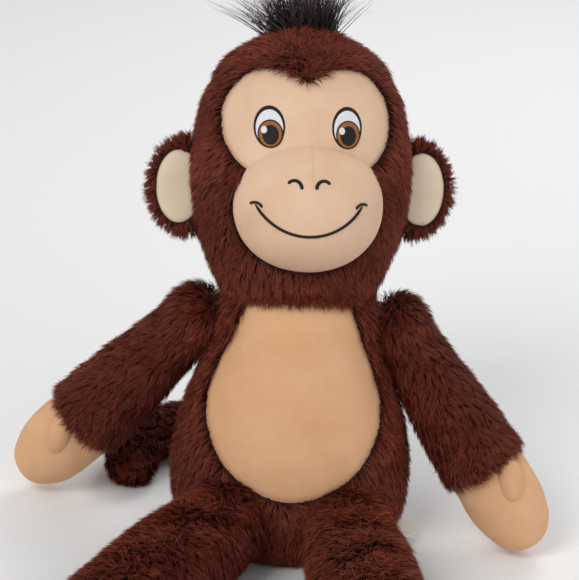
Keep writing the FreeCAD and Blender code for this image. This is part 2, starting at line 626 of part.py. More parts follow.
def make_leg(side, sign):
    """One leg: furred tube, foot, flat sole, stuffing and its seam allowance."""
    stem = f"leg_{side}"
    frame = leg_frame(side, sign)
    shin, shin_core = shin_form(f"{stem}_shin", OUTSIDE), shin_form(f"{stem}_shin_core", CORE)
    finish_piece(cut(f"{stem}_fur_skin", shin, shin_core), f"leg_fur_{side}", frame)
    foot = foot_form(f"{stem}_foot", OUTSIDE, "sole_place")
    foot_core = foot_form(f"{stem}_foot_core", CORE, "sole_place - fabric")
    foot_skin = cut(f"{stem}_foot_skin", foot, foot_core)
    sole_line = size("sole_place") - size("fabric")
    sole_block = cutter_block(f"{stem}_sole_block", (-HALF, -HALF, sole_line))
    finish_piece(cut(f"{stem}_foot_upper", foot_skin, sole_block), f"foot_{side}", frame)
    finish_piece(common(f"{stem}_sole", [foot_skin, sole_block]), f"sole_{side}", frame)
    finish_piece(fuse(f"{stem}_core", [shin_core, foot_core]), f"leg_stuffing_{side}", frame)
    backward = Rotation(X_AXIS, 180)
    seam = spherical_zone(f"{stem}_zone", "hip_radius", "hip_seam_edge", "hip_radius * 2")
    finish_piece(seam, f"hip_seam_{side}", frame.multiply(Placement(ORIGIN, backward)))


def tail_form(name, offset):
    """The tail: part of a ring with round ends, its middle at the origin."""
    ring = primitive("Torus", name + "_ring", Radius1="tail_curl", Radius2=f"tail_radius {offset}")
    bind(ring, Angle3="tail_sweep")
    ends = []
    for end, angle in (("root", 0), ("tip", size("tail_sweep"))):
        middle = Rotation(Z_AXIS, angle).multVec(Vector(size("tail_curl"), 0, 0))
        ends.append(primitive("Sphere", f"{name}_{end}", middle, Radius=f"tail_radius {offset}"))
    return fuse(name, [ring] + ends)


def make_tail():
    """The curled tail that lies behind the monkey on its right."""
    frame = Placement(TAIL_PIVOT - Vector(size("tail_curl"), 0, 0), Rotation())
    tail, core = tail_form("tail", OUTSIDE), tail_form("tail_core", CORE)
    finish_piece(cut("tail_skin", tail, core), "tail_fur", frame)
    finish_piece(core, "tail_stuffing", frame)


make_torso()
make_head()
for side_name, side_sign in SIDES:
    make_ear(side_name, side_sign)
    make_arm(side_name, side_sign)
    make_leg(side_name, side_sign)
make_tail()
doc.recompute()

# ---------------------------------------------------------------- checks and export
for item in doc.Objects:
    if "Invalid" in item.State or "Error" in item.State:
        raise RuntimeError(f"{item.Name} failed: {item.State}")
for piece in subparts:
    if piece.Shape.isNull() or not piece.Shape.isValid() or not piece.Shape.Solids:
        raise RuntimeError(f"{piece.Label} has no valid solid")

os.makedirs("parts", exist_ok=True)
for piece in subparts:
    piece.Shape.exportStep(f"parts/{piece.Label}.step")
    solids = len(piece.Shape.Solids)
    print(f"{piece.Label}: {solids} solid(s), {piece.Shape.Volume / 1000:.2f} cm3")
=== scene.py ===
"""A seated stuffed monkey: brown plush pile, tan velboa face, belly, hands and feet, embroidered eyes.

Every class below stands for one sub-assembly. Lengths are in millimetres in the sub-assembly's own frame,
and each finished mesh is in metres in the row frame. Pile and hair are real fibres, each a flat tapered
ribbon rooted in its skin.
"""

import json
import logging
import math
from dataclasses import dataclass, field
from enum import Enum
from functools import partial
from typing import Callable, Optional

import bpy
import numpy as np
from mathutils import Matrix, Vector


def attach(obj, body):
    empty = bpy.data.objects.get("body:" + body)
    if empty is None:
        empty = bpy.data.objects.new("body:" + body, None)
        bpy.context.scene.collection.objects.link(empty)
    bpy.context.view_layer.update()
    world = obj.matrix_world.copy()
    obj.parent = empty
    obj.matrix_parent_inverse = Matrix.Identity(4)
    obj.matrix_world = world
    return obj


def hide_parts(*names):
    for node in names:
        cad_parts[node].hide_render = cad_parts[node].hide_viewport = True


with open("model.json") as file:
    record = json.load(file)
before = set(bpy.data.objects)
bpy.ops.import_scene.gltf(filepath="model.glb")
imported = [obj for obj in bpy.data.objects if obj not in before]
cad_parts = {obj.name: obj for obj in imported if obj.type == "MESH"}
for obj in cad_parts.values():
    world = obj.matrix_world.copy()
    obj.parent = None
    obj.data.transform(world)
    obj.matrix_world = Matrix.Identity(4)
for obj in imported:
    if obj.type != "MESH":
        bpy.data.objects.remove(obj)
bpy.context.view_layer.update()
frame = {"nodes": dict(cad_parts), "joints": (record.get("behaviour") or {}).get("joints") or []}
LOG = logging.getLogger("stuffed_monkey")
MM = 0.001
FLOOR_SKIN = 0.3
SOFT_REACH = 6
PILE_MARGIN = 1.2
EDGE_FROM = 0.93
CELL_MARGIN = 0.15
RIBBON_POINTS = 5
STRAND_STEPS = 5
Array = np.ndarray
Field = Callable[[Array], Array]


class Side(Enum):
    """The monkey's own sides, with the sign of X."""

    LEFT = 1
    RIGHT = -1

    @property
    def word(self) -> str:
        """The side as the ending of a name."""
        return self.name.lower()


# ---------------------------------------------------------------- frames
def turn(axis: tuple[float, float, float], degrees: float) -> Array:
    """The matrix of a right-handed turn, by Rodrigues' formula.

    Args:
        axis: direction of the axis.
        degrees: angle of the turn.

    Returns:
        A 3 by 3 matrix.
    """
    return np.array(Matrix.Rotation(math.radians(degrees), 3, Vector(axis)))


@dataclass(frozen=True)
class Place:
    """A rigid frame: its axes as columns, and its origin in millimetres of the row frame."""

    axes: Array
    origin: Array

    def out(self, points: Array) -> Array:
        """Points of this frame in the row frame."""
        return points @ self.axes.T + self.origin

    def within(self, points: Array) -> Array:
        """Points of the row frame in this frame."""
        return (points - self.origin) @ self.axes


def joint(name: str) -> dict:
    """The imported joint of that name."""
    return next(j for j in frame["joints"] if j["name"] == name)


def pivot(name: str) -> Array:
    """A joint's pivot in millimetres of the row frame."""
    return np.array(joint(name)["pos_m"]) / MM


SPINE_LEAN = 16.0
SPINE = Place(turn((1, 0, 0), -SPINE_LEAN), np.zeros(3))
HEAD_UP = np.array(joint("neck_turn")["axis"])
HEAD_ACROSS = np.array(joint("neck_nod")["axis"])
HEAD = Place(np.column_stack([HEAD_ACROSS, np.cross(HEAD_UP, HEAD_ACROSS), HEAD_UP]), pivot("neck_nod"))


# ---------------------------------------------------------------- grids
def unit(vectors: Array) -> Array:
    """Vectors scaled to length one."""
    return vectors / np.maximum(np.linalg.norm(vectors, axis=-1, keepdims=True), 1e-9)


def through(knots: Array, values: Array, at: Array) -> Array:
    """A smooth curve through known values: cubic Hermite pieces with central slopes.

    Args:
        knots: rising places where the value is known.
        values: the values there.
        at: places to read.

    Returns:
        The values at those places.
    """
    knots, values = np.asarray(knots, float), np.asarray(values, float)
    slopes = np.gradient(values, knots)
    cell = np.clip(np.searchsorted(knots, at) - 1, 0, len(knots) - 2)
    span = knots[cell + 1] - knots[cell]
    u = np.clip((at - knots[cell]) / span, 0, 1)
    start = (1 + 2 * u) * (1 - u) ** 2 * values[cell] + u * (1 - u) ** 2 * span * slopes[cell]
    end = u**2 * (3 - 2 * u) * values[cell + 1] + u**2 * (u - 1) * span * slopes[cell + 1]
    return start + end


def sweep_rings(rise: Array, width: Array, depth: Array, columns: int) -> Array:
    """Level ellipses stacked along Z: x is width times cosine of the column's angle, y is depth times sine.

    Args:
        rise: height of each ring.
        width: half width of each ring, along X.
        depth: half depth of each ring, along Y.
        columns: points round each ring.

    Returns:
        The grid of points, ring by ring.
    """
    angle = np.linspace(0, 2 * math.pi, columns, endpoint=False)
    x = width[:, None] * np.cos(angle)
    y = depth[:, None] * np.sin(angle)
    return np.stack([x, y, np.broadcast_to(rise[:, None], x.shape)], axis=-1)


def oval_rings(half: tuple[float, float, float], rows: int, columns: int, power: float = 2.0) -> Array:
    """A superellipsoid round Z: at a height z of its half, the ring's radius is (1 - |z|^power)^(1/power).

    Args:
        half: half sizes along X, Y and Z.
        rows: rings from pole to pole.
        columns: points round each ring.
        power: 2 makes an ellipsoid, and more makes it squarer.

    Returns:
        The grid of points, ring by ring.
    """
    angle = np.linspace(-math.pi / 2, math.pi / 2, rows)
    z = np.sin(angle)
    radius = np.maximum(1 - np.abs(z) ** power, 0) ** (1 / power)
    return sweep_rings(z * half[2], radius * half[0], radius * half[1], columns)


def limb_rings(
    stations: tuple, radii: tuple, rows: int, columns: int, ends: tuple[float, float], end_radius: float
) -> Array:
    """A limb along Z: half a ball at its root, rings through its sections, and a closed end.

    Args:
        stations: places of the sections along the limb, from 0.
        radii: their radii, the first one the root's.
        rows: rings from the root to the last section.
        columns: points round each ring.
        ends: places of the last ring and of the point that closes the end.
        end_radius: radius of the last ring.

    Returns:
        The grid of points, ring by ring.
    """
    turned = np.linspace(0, math.pi / 2, 12)
    along = np.linspace(0, stations[-1], rows)[1:]
    level = np.concatenate([-radii[0] * np.cos(turned), along, ends])
    radius = np.concatenate([radii[0] * np.sin(turned), through(stations, radii, along), [end_radius, 0]])
    return sweep_rings(level, radius, radius, columns)


def push_out(points: Array, centre: Array, radius: float, lip: float = 2.0) -> Array:
    """Moves points out of a ball along its radii, to a soft maximum of their distance and its radius.

    Args:
        points: places to move.
        centre: centre of the ball.
        radius: radius of the ball.
        lip: softness of the hollow's rim.

    Returns:
        The moved points.
    """
    away = points - centre
    distance = np.linalg.norm(away, axis=-1, keepdims=True)
    clear = radius + lip * np.logaddexp(0, (distance - radius) / lip)
    clear = np.where(distance > radius + SOFT_REACH * lip, distance, clear)
    return centre + away / np.maximum(distance, 1e-6) * clear


def settle(points: Array, softness: float = 1.2) -> Array:
    """Presses points flat on the surface at Z 0: their z becomes a soft maximum of itself and the surface's.

    Args:
        points: places in the row frame.
        softness: softness of the pressed edge.

    Returns:
        The pressed points.
    """
    pressed = points.copy()
    pressed[..., 2] = FLOOR_SKIN + softness * np.logaddexp(0, (points[..., 2] - FLOOR_SKIN) / softness)
    return np.where(points[..., 2:] > FLOOR_SKIN + SOFT_REACH * softness, points, pressed)


def grid_normals(points: Array) -> Array:
    """Normals of a grid whose columns wrap: the cross product of its central differences.

    Args:
        points: the grid.

    Returns:
        A unit normal for each point, with the end rows' taken from the rows beside them.
    """
    down = np.gradient(points, axis=0)
    round_ = np.roll(points, -1, axis=1) - np.roll(points, 1, axis=1)
    normal = np.cross(round_, down)
    normal[0], normal[-1] = normal[1], normal[-2]
    return unit(normal)


def grid_faces(rows: int, columns: int) -> Array:
    """Quads of a grid whose columns wrap.

    Args:
        rows: rows of points.
        columns: points in a row.

    Returns:
        The four point numbers of each quad, row by row.
    """
    row, column = np.meshgrid(np.arange(rows - 1), np.arange(columns), indexing="ij")
    here, column = row.ravel() * columns, column.ravel()
    below, beside = here + columns, (column + 1) % columns
    return np.column_stack([here + column, here + beside, below + beside, below + column])


def signed_volume(points: Array, quads: Array) -> float:
    """Six times the volume inside quads: the sum of a . (b x c) over two triangles of each.

    Args:
        points: the vertices.
        quads: four point numbers of each quad.

    Returns:
        A positive number if the quads face outwards, and a negative one if they face inwards.
    """
    a, b, c, d = (points[quads[:, i]] for i in range(4))
    return np.sum(a * np.cross(b, c)) + np.sum(a * np.cross(c, d))


def raw_mesh(name: str, points: Array, corners: Array, sizes: Array) -> bpy.types.Mesh:
    """A mesh from flat arrays.

    Args:
        name: name of the mesh.
        points: vertices in metres.
        corners: vertex index of each face corner, face after face.
        sizes: number of corners of each face.

    Returns:
        The mesh, shaded smooth.
    """
    mesh = bpy.data.meshes.new(name)
    mesh.vertices.add(len(points))
    mesh.vertices.foreach_set("co", np.ascontiguousarray(points, np.float32).ravel())
    mesh.loops.add(len(corners))
    mesh.loops.foreach_set("vertex_index", corners.astype(np.int32))
    mesh.polygons.add(len(sizes))
    starts = np.concatenate([[0], np.cumsum(sizes)[:-1]]).astype(np.int32)
    mesh.polygons.foreach_set("loop_start", starts)
    mesh.update(calc_edges=True)
    mesh.polygons.foreach_set("use_smooth", np.ones(len(sizes), bool))
    return mesh


def add_piece(
    name: str, mesh: bpy.types.Mesh, material: bpy.types.Material, body: str
) -> bpy.types.Object:
    """Puts a mesh in the scene as a piece.

    Args:
        name: name of the piece.
        mesh: its mesh.
        material: its finish.
        body: the body that it rides on.

    Returns:
        The piece.
    """
    mesh.materials.append(material)
    piece = bpy.data.objects.new(name, mesh)
    bpy.context.scene.collection.objects.link(piece)
    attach(piece, body)
    return piece


def write_attribute(mesh: bpy.types.Mesh, name: str, values: Array) -> None:
    """Stores one number at each point for a material to read."""
    layer = mesh.attributes.new(name, "FLOAT", "POINT")
    layer.data.foreach_set("value", np.ascontiguousarray(values, np.float32).ravel())


def lay_out(mesh: bpy.types.Mesh, count: int, shape: Array) -> None:
    """Gives each of many alike shapes its own cell of a square map, so that its colours can be baked.

    Args:
        mesh: the mesh, shape after shape.
        count: number of shapes.
        shape: place of each of a shape's face corners in its cell, from 0 to 1.
    """
    cells = math.ceil(math.sqrt(count))
    number = np.arange(count)
    corner = np.column_stack([number % cells, number // cells])[:, None, :]
    inset = shape * (1 - 2 * CELL_MARGIN) + CELL_MARGIN
    layer = mesh.uv_layers.new(name="OFBake")
    layer.data.foreach_set("uv", ((corner + inset) / cells).astype(np.float32).ravel())


@dataclass
class Skin:
    """A closed grid surface in the row frame, in millimetres: its columns wrap and its end rows are poles."""

    points: Array

    def mesh(self, name: str, marks: Optional[dict[str, Array]] = None) -> bpy.types.Mesh:
        """The grid as a mesh with each pole merged to one point and faces that point outwards.

        Args:
            name: name of the mesh.
            marks: numbers of each grid point to store, by attribute name.

        Returns:
            The mesh in metres.
        """
        rows, columns = self.points.shape[:2]
        index = np.arange(rows * columns).reshape(rows, columns)
        index[0], index[-1] = index[0, 0], index[-1, 0]
        kept, renumbered = np.unique(index, return_inverse=True)
        quads = renumbered.ravel()[grid_faces(rows, columns)]
        flat = self.points.reshape(-1, 3)[kept]
        if signed_volume(flat, quads) < 0:
            quads = quads[:, ::-1]
        fresh = quads != np.roll(quads, 1, axis=1)
        mesh = raw_mesh(name, flat * MM, quads[fresh], fresh.sum(axis=1))
        for mark, values in (marks or {}).items():
            write_attribute(mesh, mark, values.reshape(-1)[kept])
        return mesh

    def outward(self) -> Array:
        """Normals that point away from the inside.

        Returns:
            A unit normal for each grid point.
        """
        normal = grid_normals(self.points)
        volume = signed_volume(self.points.reshape(-1, 3), grid_faces(*self.points.shape[:2]))
        return normal if volume > 0 else -normal


# ---------------------------------------------------------------- shaders
class Sock:
    """A node's output, on which an expression adds Math nodes."""

    def __init__(self, shade: "Shade", out: bpy.types.NodeSocket) -> None:
        """Wraps an output of a shade's tree."""
        self.shade = shade
        self.out = out

    def _do(self, operation: str, first: object, second: object = 0.0) -> "Sock":
        """A Math node of two values."""
        return self.shade.node("ShaderNodeMath", {"operation": operation}, {0: first, 1: second})

    def __add__(self, other: object) -> "Sock":
        """Sum."""
        return self._do("ADD", self, other)

    __radd__ = __add__

    def __mul__(self, other: object) -> "Sock":
        """Product."""
        return self._do("MULTIPLY", self, other)

    __rmul__ = __mul__

    def __sub__(self, other: object) -> "Sock":
        """Difference."""
        return self._do("SUBTRACT", self, other)

    def __rsub__(self, other: object) -> "Sock":
        """Difference from a number."""
        return self._do("SUBTRACT", other, self)

    def __pow__(self, other: object) -> "Sock":
        """Power."""
        return self._do("POWER", self, other)

    def sine(self) -> "Sock":
        """Sine of radians."""
        return self._do("SINE", self)

    def within(self, low: float, high: float) -> "Sock":
        """0 below low, 1 above high and a smooth step between."""
        inputs = {"Value": self, "From Min": low, "From Max": high}
        return self.shade.node("ShaderNodeMapRange", {"interpolation_type": "SMOOTHSTEP"}, inputs)


class Shade:
    """A material under construction."""

    def __init__(self, name: str) -> None:
        """Starts an empty node tree."""
        self.material = bpy.data.materials.new(name)
        self.material.use_nodes = True
        self.tree = self.material.node_tree
        self.tree.nodes.clear()

    def node(self, kind: str, settings: dict, inputs: dict, output: object = 0) -> Sock:
        """Adds a node.

        Args:
            kind: the node's type.
            settings: its own properties, set first.
            inputs: values or links of its sockets, by name or number.
            output: which output to return, by name or number.

        Returns:
            The chosen output.
        """
        made = self.tree.nodes.new(kind)
        for key, value in settings.items():
            setattr(made, key, value)
        for key, value in inputs.items():
            if isinstance(value, Sock):
                self.tree.links.new(value.out, made.inputs[key])
            else:
                made.inputs[key].default_value = value
        return Sock(self, made.outputs[output])

    def where(self) -> Sock:
        """The Object coordinates."""
        return self.node("ShaderNodeTexCoord", {}, {}, "Object")

    def axis(self, name: str) -> Sock:
        """One of the Object coordinates, in metres."""
        return self.node("ShaderNodeSeparateXYZ", {}, {0: self.where()}, name)

    def mark(self, name: str) -> Sock:
        """A number stored at the points."""
        return self.node("ShaderNodeAttribute", {"attribute_name": name}, {}, "Fac")

    def noise(self, per_metre: float, detail: float = 3.0, rough: float = 0.55) -> Sock:
        """Soft noise in Object coordinates, 0 to 1."""
        inputs = {"Vector": self.where(), "Scale": per_metre, "Detail": detail, "Roughness": rough}
        return self.node("ShaderNodeTexNoise", {}, inputs, "Fac")

    def mix(self, share: object, first: object, second: object) -> Sock:
        """A colour between two colours."""
        inputs = {0: share, 6: as_colour(first), 7: as_colour(second)}
        return self.node("ShaderNodeMix", {"data_type": "RGBA"}, inputs, 2)

    def bump(self, height: Sock, strength: float, distance: float) -> Sock:
        """A normal from a height, with the distance in millimetres."""
        inputs = {"Height": height, "Strength": strength, "Distance": distance * MM}
        return self.node("ShaderNodeBump", {}, inputs, "Normal")

    def finish(self, **inputs: object) -> bpy.types.Material:
        """Ends the material in a Principled shader.

        Args:
            inputs: values or links of its sockets, with an underscore for each space in a name.

        Returns:
            The material.
        """
        spaced = {key.replace("_", " "): value for key, value in inputs.items()}
        shader = self.node("ShaderNodeBsdfPrincipled", {}, spaced)
        self.node_out(shader)
        return self.material

    def node_out(self, shader: Sock) -> None:
        """Links a shader to the material's output."""
        made = self.tree.nodes.new("ShaderNodeOutputMaterial")
        self.tree.links.new(shader.out, made.inputs["Surface"])


def as_colour(value: object) -> object:
    """A colour with its alpha, or the socket that it already is."""
    return value if isinstance(value, Sock) else (*value, 1.0)


Colour = tuple[float, float, float]


@dataclass(frozen=True)
class PileFinish:
    """Long brown polyester pile: dark at the root, partly as painted shade deep in the pile, and redder and
    lighter to the tip, partly as painted highlight; each fibre in its own tone.
    """

    name: str = "brown_pile"
    # root: nearly black, partly the fibres' own colour and partly painted shade deep in the pile
    root: Colour = (0.012, 0.0022, 0.0014)
    middle: Colour = (0.115, 0.0165, 0.0072)
    # tip: lighter red, partly the fibres' own colour and partly painted highlight where the tips catch the
    # light
    tip: Colour = (0.4, 0.078, 0.034)
    fleck: Colour = (0.09, 0.022, 0.014)
    fleck_share: float = 0.28
    clouds_per_metre: float = 22.0
    # size of the patches of painted highlight and painted shade on the pile
    strokes_per_metre: float = 15.0

    def make(self) -> bpy.types.Material:
        """Makes the finish.

        Returns:
            The material.
        """
        shade = Shade(self.name)
        along, fibre, lock = shade.mark("along"), shade.mark("fibre"), shade.mark("lock")
        cloud = shade.noise(self.clouds_per_metre)
        # painted shade: each fibre darkens towards its root
        body = shade.mix(along.within(0.02, 0.55), self.root, self.middle)
        # painted highlight and painted shade: broad brushed patches brighten or dim the tips
        brushed = shade.noise(self.strokes_per_metre, 2.0).within(0.36, 0.66)
        light = along.within(0.3, 1.0) * (0.2 + 0.8 * fibre) * (0.4 + 0.6 * lock) * (0.45 + 0.95 * brushed)
        colour = shade.mix(light, body, self.tip)
        tone = (0.3 * cloud + 0.7 * fibre).within(0.15, 0.95)
        colour = shade.mix(self.fleck_share * tone, colour, self.fleck)
        return shade.finish(Base_Color=colour, Roughness=0.55, Specular_IOR_Level=0.22)


@dataclass(frozen=True)
class BackingFinish:
    """The dark knitted backing under the pile, with its rows of loops."""

    name: str = "pile_backing"
    dark: Colour = (0.015, 0.003, 0.002)
    light: Colour = (0.06, 0.012, 0.007)
    loops_per_metre: float = 4200.0
    clouds_per_metre: float = 160.0

    def make(self) -> bpy.types.Material:
        """Makes the finish.

        Returns:
            The material.
        """
        shade = Shade(self.name)
        rows = (shade.axis("Z") * self.loops_per_metre).sine()
        knit = rows * (shade.axis("X") * self.loops_per_metre).sine()
        colour = shade.mix(shade.noise(self.clouds_per_metre).within(0.3, 0.75), self.dark, self.light)
        return shade.finish(Base_Color=colour, Roughness=0.95, Normal=shade.bump(knit, 0.5, 0.3))


@dataclass(frozen=True)
class VelboaFinish:
    """Short tan nap: mottled where it is brushed two ways, and darker at the edges of each panel as painted
    shade.
    """

    name: str = "tan_velboa"
    base: Colour = (0.75, 0.52, 0.37)
    deep: Colour = (0.67, 0.43, 0.28)
    # seam: the colour of painted shade at panel edges, seams and creases
    seam: Colour = (0.36, 0.17, 0.08)
    strokes_per_metre: float = 38.0
    fibres_per_metre: float = 1900.0
    clumps_per_metre: float = 700.0

    def make(self) -> bpy.types.Material:
        """Makes the finish.

        Returns:
            The material.
        """
        shade = Shade(self.name)
        brushed = shade.noise(self.strokes_per_metre, 4.0)
        grain = shade.noise(self.fibres_per_metre, 2.0)
        colour = shade.mix((0.75 * brushed + 0.35 * grain).within(0.35, 0.85), self.base, self.deep)
        # painted shade: darker towards the panel's edge, by the stored nearness to it
        edge = shade.mark("edge").within(0.0, 1.0)
        colour = shade.mix(0.55 * edge, colour, self.seam)
        height = 0.5 * grain + 0.5 * shade.noise(self.clumps_per_metre, 3.0) + 0.8 * brushed
        return shade.finish(
            Base_Color=colour,
            Roughness=0.9,
            Specular_IOR_Level=0.2,
            Sheen_Weight=0.15,
            Sheen_Roughness=0.4,
            Sheen_Tint=(1.0, 0.82, 0.65, 1.0),
            Normal=shade.bump(height, 0.45, 0.35),
        )


@dataclass(frozen=True)
class ThreadFinish:
    """Rows of embroidery thread: rounded ridges across the stored place along the stitching, darker in the
    grooves between rows as painted shade and lighter on their crests as painted highlight.
    """

    name: str
    # light and dark: one thread's colour, lit on the crests of its rows and in painted shade in the grooves,
    # mixed with a random tone
    light: Colour
    dark: Colour
    pitch: float = 0.42
    clumps_per_metre: float = 900.0

    def make(self) -> bpy.types.Material:
        """Makes the finish.

        Returns:
            The material.
        """
        shade = Shade(self.name)
        ridge = (shade.mark("stitch") * (2 * math.pi / self.pitch)).sine() * 0.5 + 0.5
        fuzz = shade.noise(self.clumps_per_metre)
        # painted shade and painted highlight: the colour follows the ridges, mixed with random fuzz
        colour = shade.mix((0.65 * ridge + 0.45 * fuzz).within(0.2, 0.95), self.dark, self.light)
        bump = shade.bump(ridge + 0.3 * fuzz, 0.6, 0.16)
        return shade.finish(Base_Color=colour, Roughness=0.55, Specular_IOR_Level=0.3, Normal=bump)


@dataclass(frozen=True)
class HairFinish:
    """Long, nearly black fibres with a mauve-brown shine."""

    name: str = "dark_hair"
    root: Colour = (0.012, 0.006, 0.006)
    tip: Colour = (0.075, 0.038, 0.04)

    def make(self) -> bpy.types.Material:
        """Makes the finish.

        Returns:
            The material.
        """
        shade = Shade(self.name)
        colour = shade.mix(shade.mark("along").within(0.1, 1.0) * shade.mark("fibre"), self.root, self.tip)
        return shade.finish(Base_Color=colour, Roughness=0.36, Specular_IOR_Level=0.6)


@dataclass(frozen=True)
class ClothFinish:
    """A plain woven or fibrous material that carries its own colours and its own scale of weave, lighter and
    darker in a checker of the weave as painted highlight and painted shade.
    """

    name: str
    # light and dark: one cloth's colour, lit and in painted shade across the weave, mixed with random clouds
    light: Colour
    dark: Colour
    threads_per_metre: float = 2500.0
    clouds_per_metre: float = 300.0

    def make(self) -> bpy.types.Material:
        """Makes the finish.

        Returns:
            The material.
        """
        shade = Shade(self.name)
        warp = (shade.axis("X") * self.threads_per_metre).sine()
        weft = (shade.axis("Z") * self.threads_per_metre).sine()
        weave = warp * weft * 0.5 + 0.5
        # painted shade and painted highlight: the colour follows the weave's relief, mixed with random clouds
        colour = shade.mix(0.5 * weave + 0.5 * shade.noise(self.clouds_per_metre), self.dark, self.light)
        return shade.finish(Base_Color=colour, Roughness=0.85, Normal=shade.bump(weave, 0.5, 0.2))


def made(finish: type, *values: object) -> bpy.types.Material:
    """A field whose finish is made with these values when the wardrobe is made."""
    return field(default_factory=lambda: finish(*values).make())


@dataclass
class Wardrobe:
    """Every finish of the toy, made once."""

    pile: bpy.types.Material = made(PileFinish)
    backing: bpy.types.Material = made(BackingFinish)
    velboa: bpy.types.Material = made(VelboaFinish)
    warm_velboa: bpy.types.Material = made(
        VelboaFinish, "warm_velboa", (0.71, 0.42, 0.235), (0.63, 0.34, 0.17)
    )
    ear_velboa: bpy.types.Material = made(
        VelboaFinish, "cream_velboa", (0.76, 0.64, 0.49), (0.68, 0.53, 0.37)
    )
    black: bpy.types.Material = made(
        ThreadFinish, "black_thread", (0.014, 0.011, 0.01), (0.004, 0.003, 0.003)
    )
    white: bpy.types.Material = made(ThreadFinish, "white_thread", (0.92, 0.92, 0.93), (0.62, 0.62, 0.66))
    amber: bpy.types.Material = made(ThreadFinish, "amber_thread", (0.5, 0.17, 0.035), (0.2, 0.06, 0.014))
    brown: bpy.types.Material = made(ThreadFinish, "brown_thread", (0.12, 0.04, 0.02), (0.04, 0.014, 0.008))
    hair: bpy.types.Material = made(HairFinish)
    seam: bpy.types.Material = made(ClothFinish, "backing_cloth", (0.06, 0.016, 0.009), (0.025, 0.008, 0.005))
    tape: bpy.types.Material = made(ClothFinish, "label_tape", (0.85, 0.82, 0.74), (0.66, 0.6, 0.5), 6000.0)


# ---------------------------------------------------------------- pile
def scramble(cells: Array, salt: float) -> Array:
    """Repeatable numbers from 0 to 1 for whole-number cells: the fraction of a large sine."""
    dots = cells @ np.array([12.9898, 78.233, 37.719]) + salt
    return np.modf(np.abs(np.sin(dots) * 43758.5453))[0]


def nearest_lock(points: Array, pitch: float) -> tuple[Array, Array]:
    """The lock that each point belongs to: the nearest of one jittered centre in each cell of a lattice.

    Args:
        points: places in millimetres.
        pitch: size of the lattice's cells.

    Returns:
        The centre for each point, and a number from 0 to 1 of each lock's own.
    """
    home = np.floor(points / pitch)
    best = np.full(len(points), np.inf)
    centre, number = np.zeros_like(points), np.zeros(len(points))
    for offset in np.ndindex(3, 3, 3):
        cell = home + np.array(offset) - 1
        jitter = np.column_stack([scramble(cell, salt) for salt in (0.0, 3.1, 7.7)])
        candidate = (cell + 0.1 + 0.8 * jitter) * pitch
        distance = np.sum((candidate - points) ** 2, axis=1)
        closer = distance < best
        best = np.where(closer, distance, best)
        centre = np.where(closer[:, None], candidate, centre)
        number = np.where(closer, scramble(cell, 11.3), number)
    return centre, number


def swirl(points: Array, wavelength: float) -> Array:
    """A smooth vector field: each component is a sum of two sines along skewed directions.

    Args:
        points: places in millimetres, in an array of any shape whose last axis is x, y and z.
        wavelength: length of the longest wave.

    Returns:
        A vector for each place, of a length up to about 1.7.
    """
    skew = np.array([[0.9, 0.3, -0.5], [-0.4, 1.0, 0.6], [0.5, -0.7, 0.8], [0.2, 0.5, 1.1]])
    phase = points @ skew.T * (2 * math.pi / wavelength)
    x = np.sin(phase[..., 0] + 1.0) + np.sin(phase[..., 1] * 1.7 + 2.0)
    y = np.sin(phase[..., 1] + 4.0) + np.sin(phase[..., 2] * 1.6 + 0.5)
    z = np.sin(phase[..., 2] + 2.5) + np.sin(phase[..., 3] * 1.8 + 5.0)
    return np.stack([x, y, z], axis=-1) * 0.5


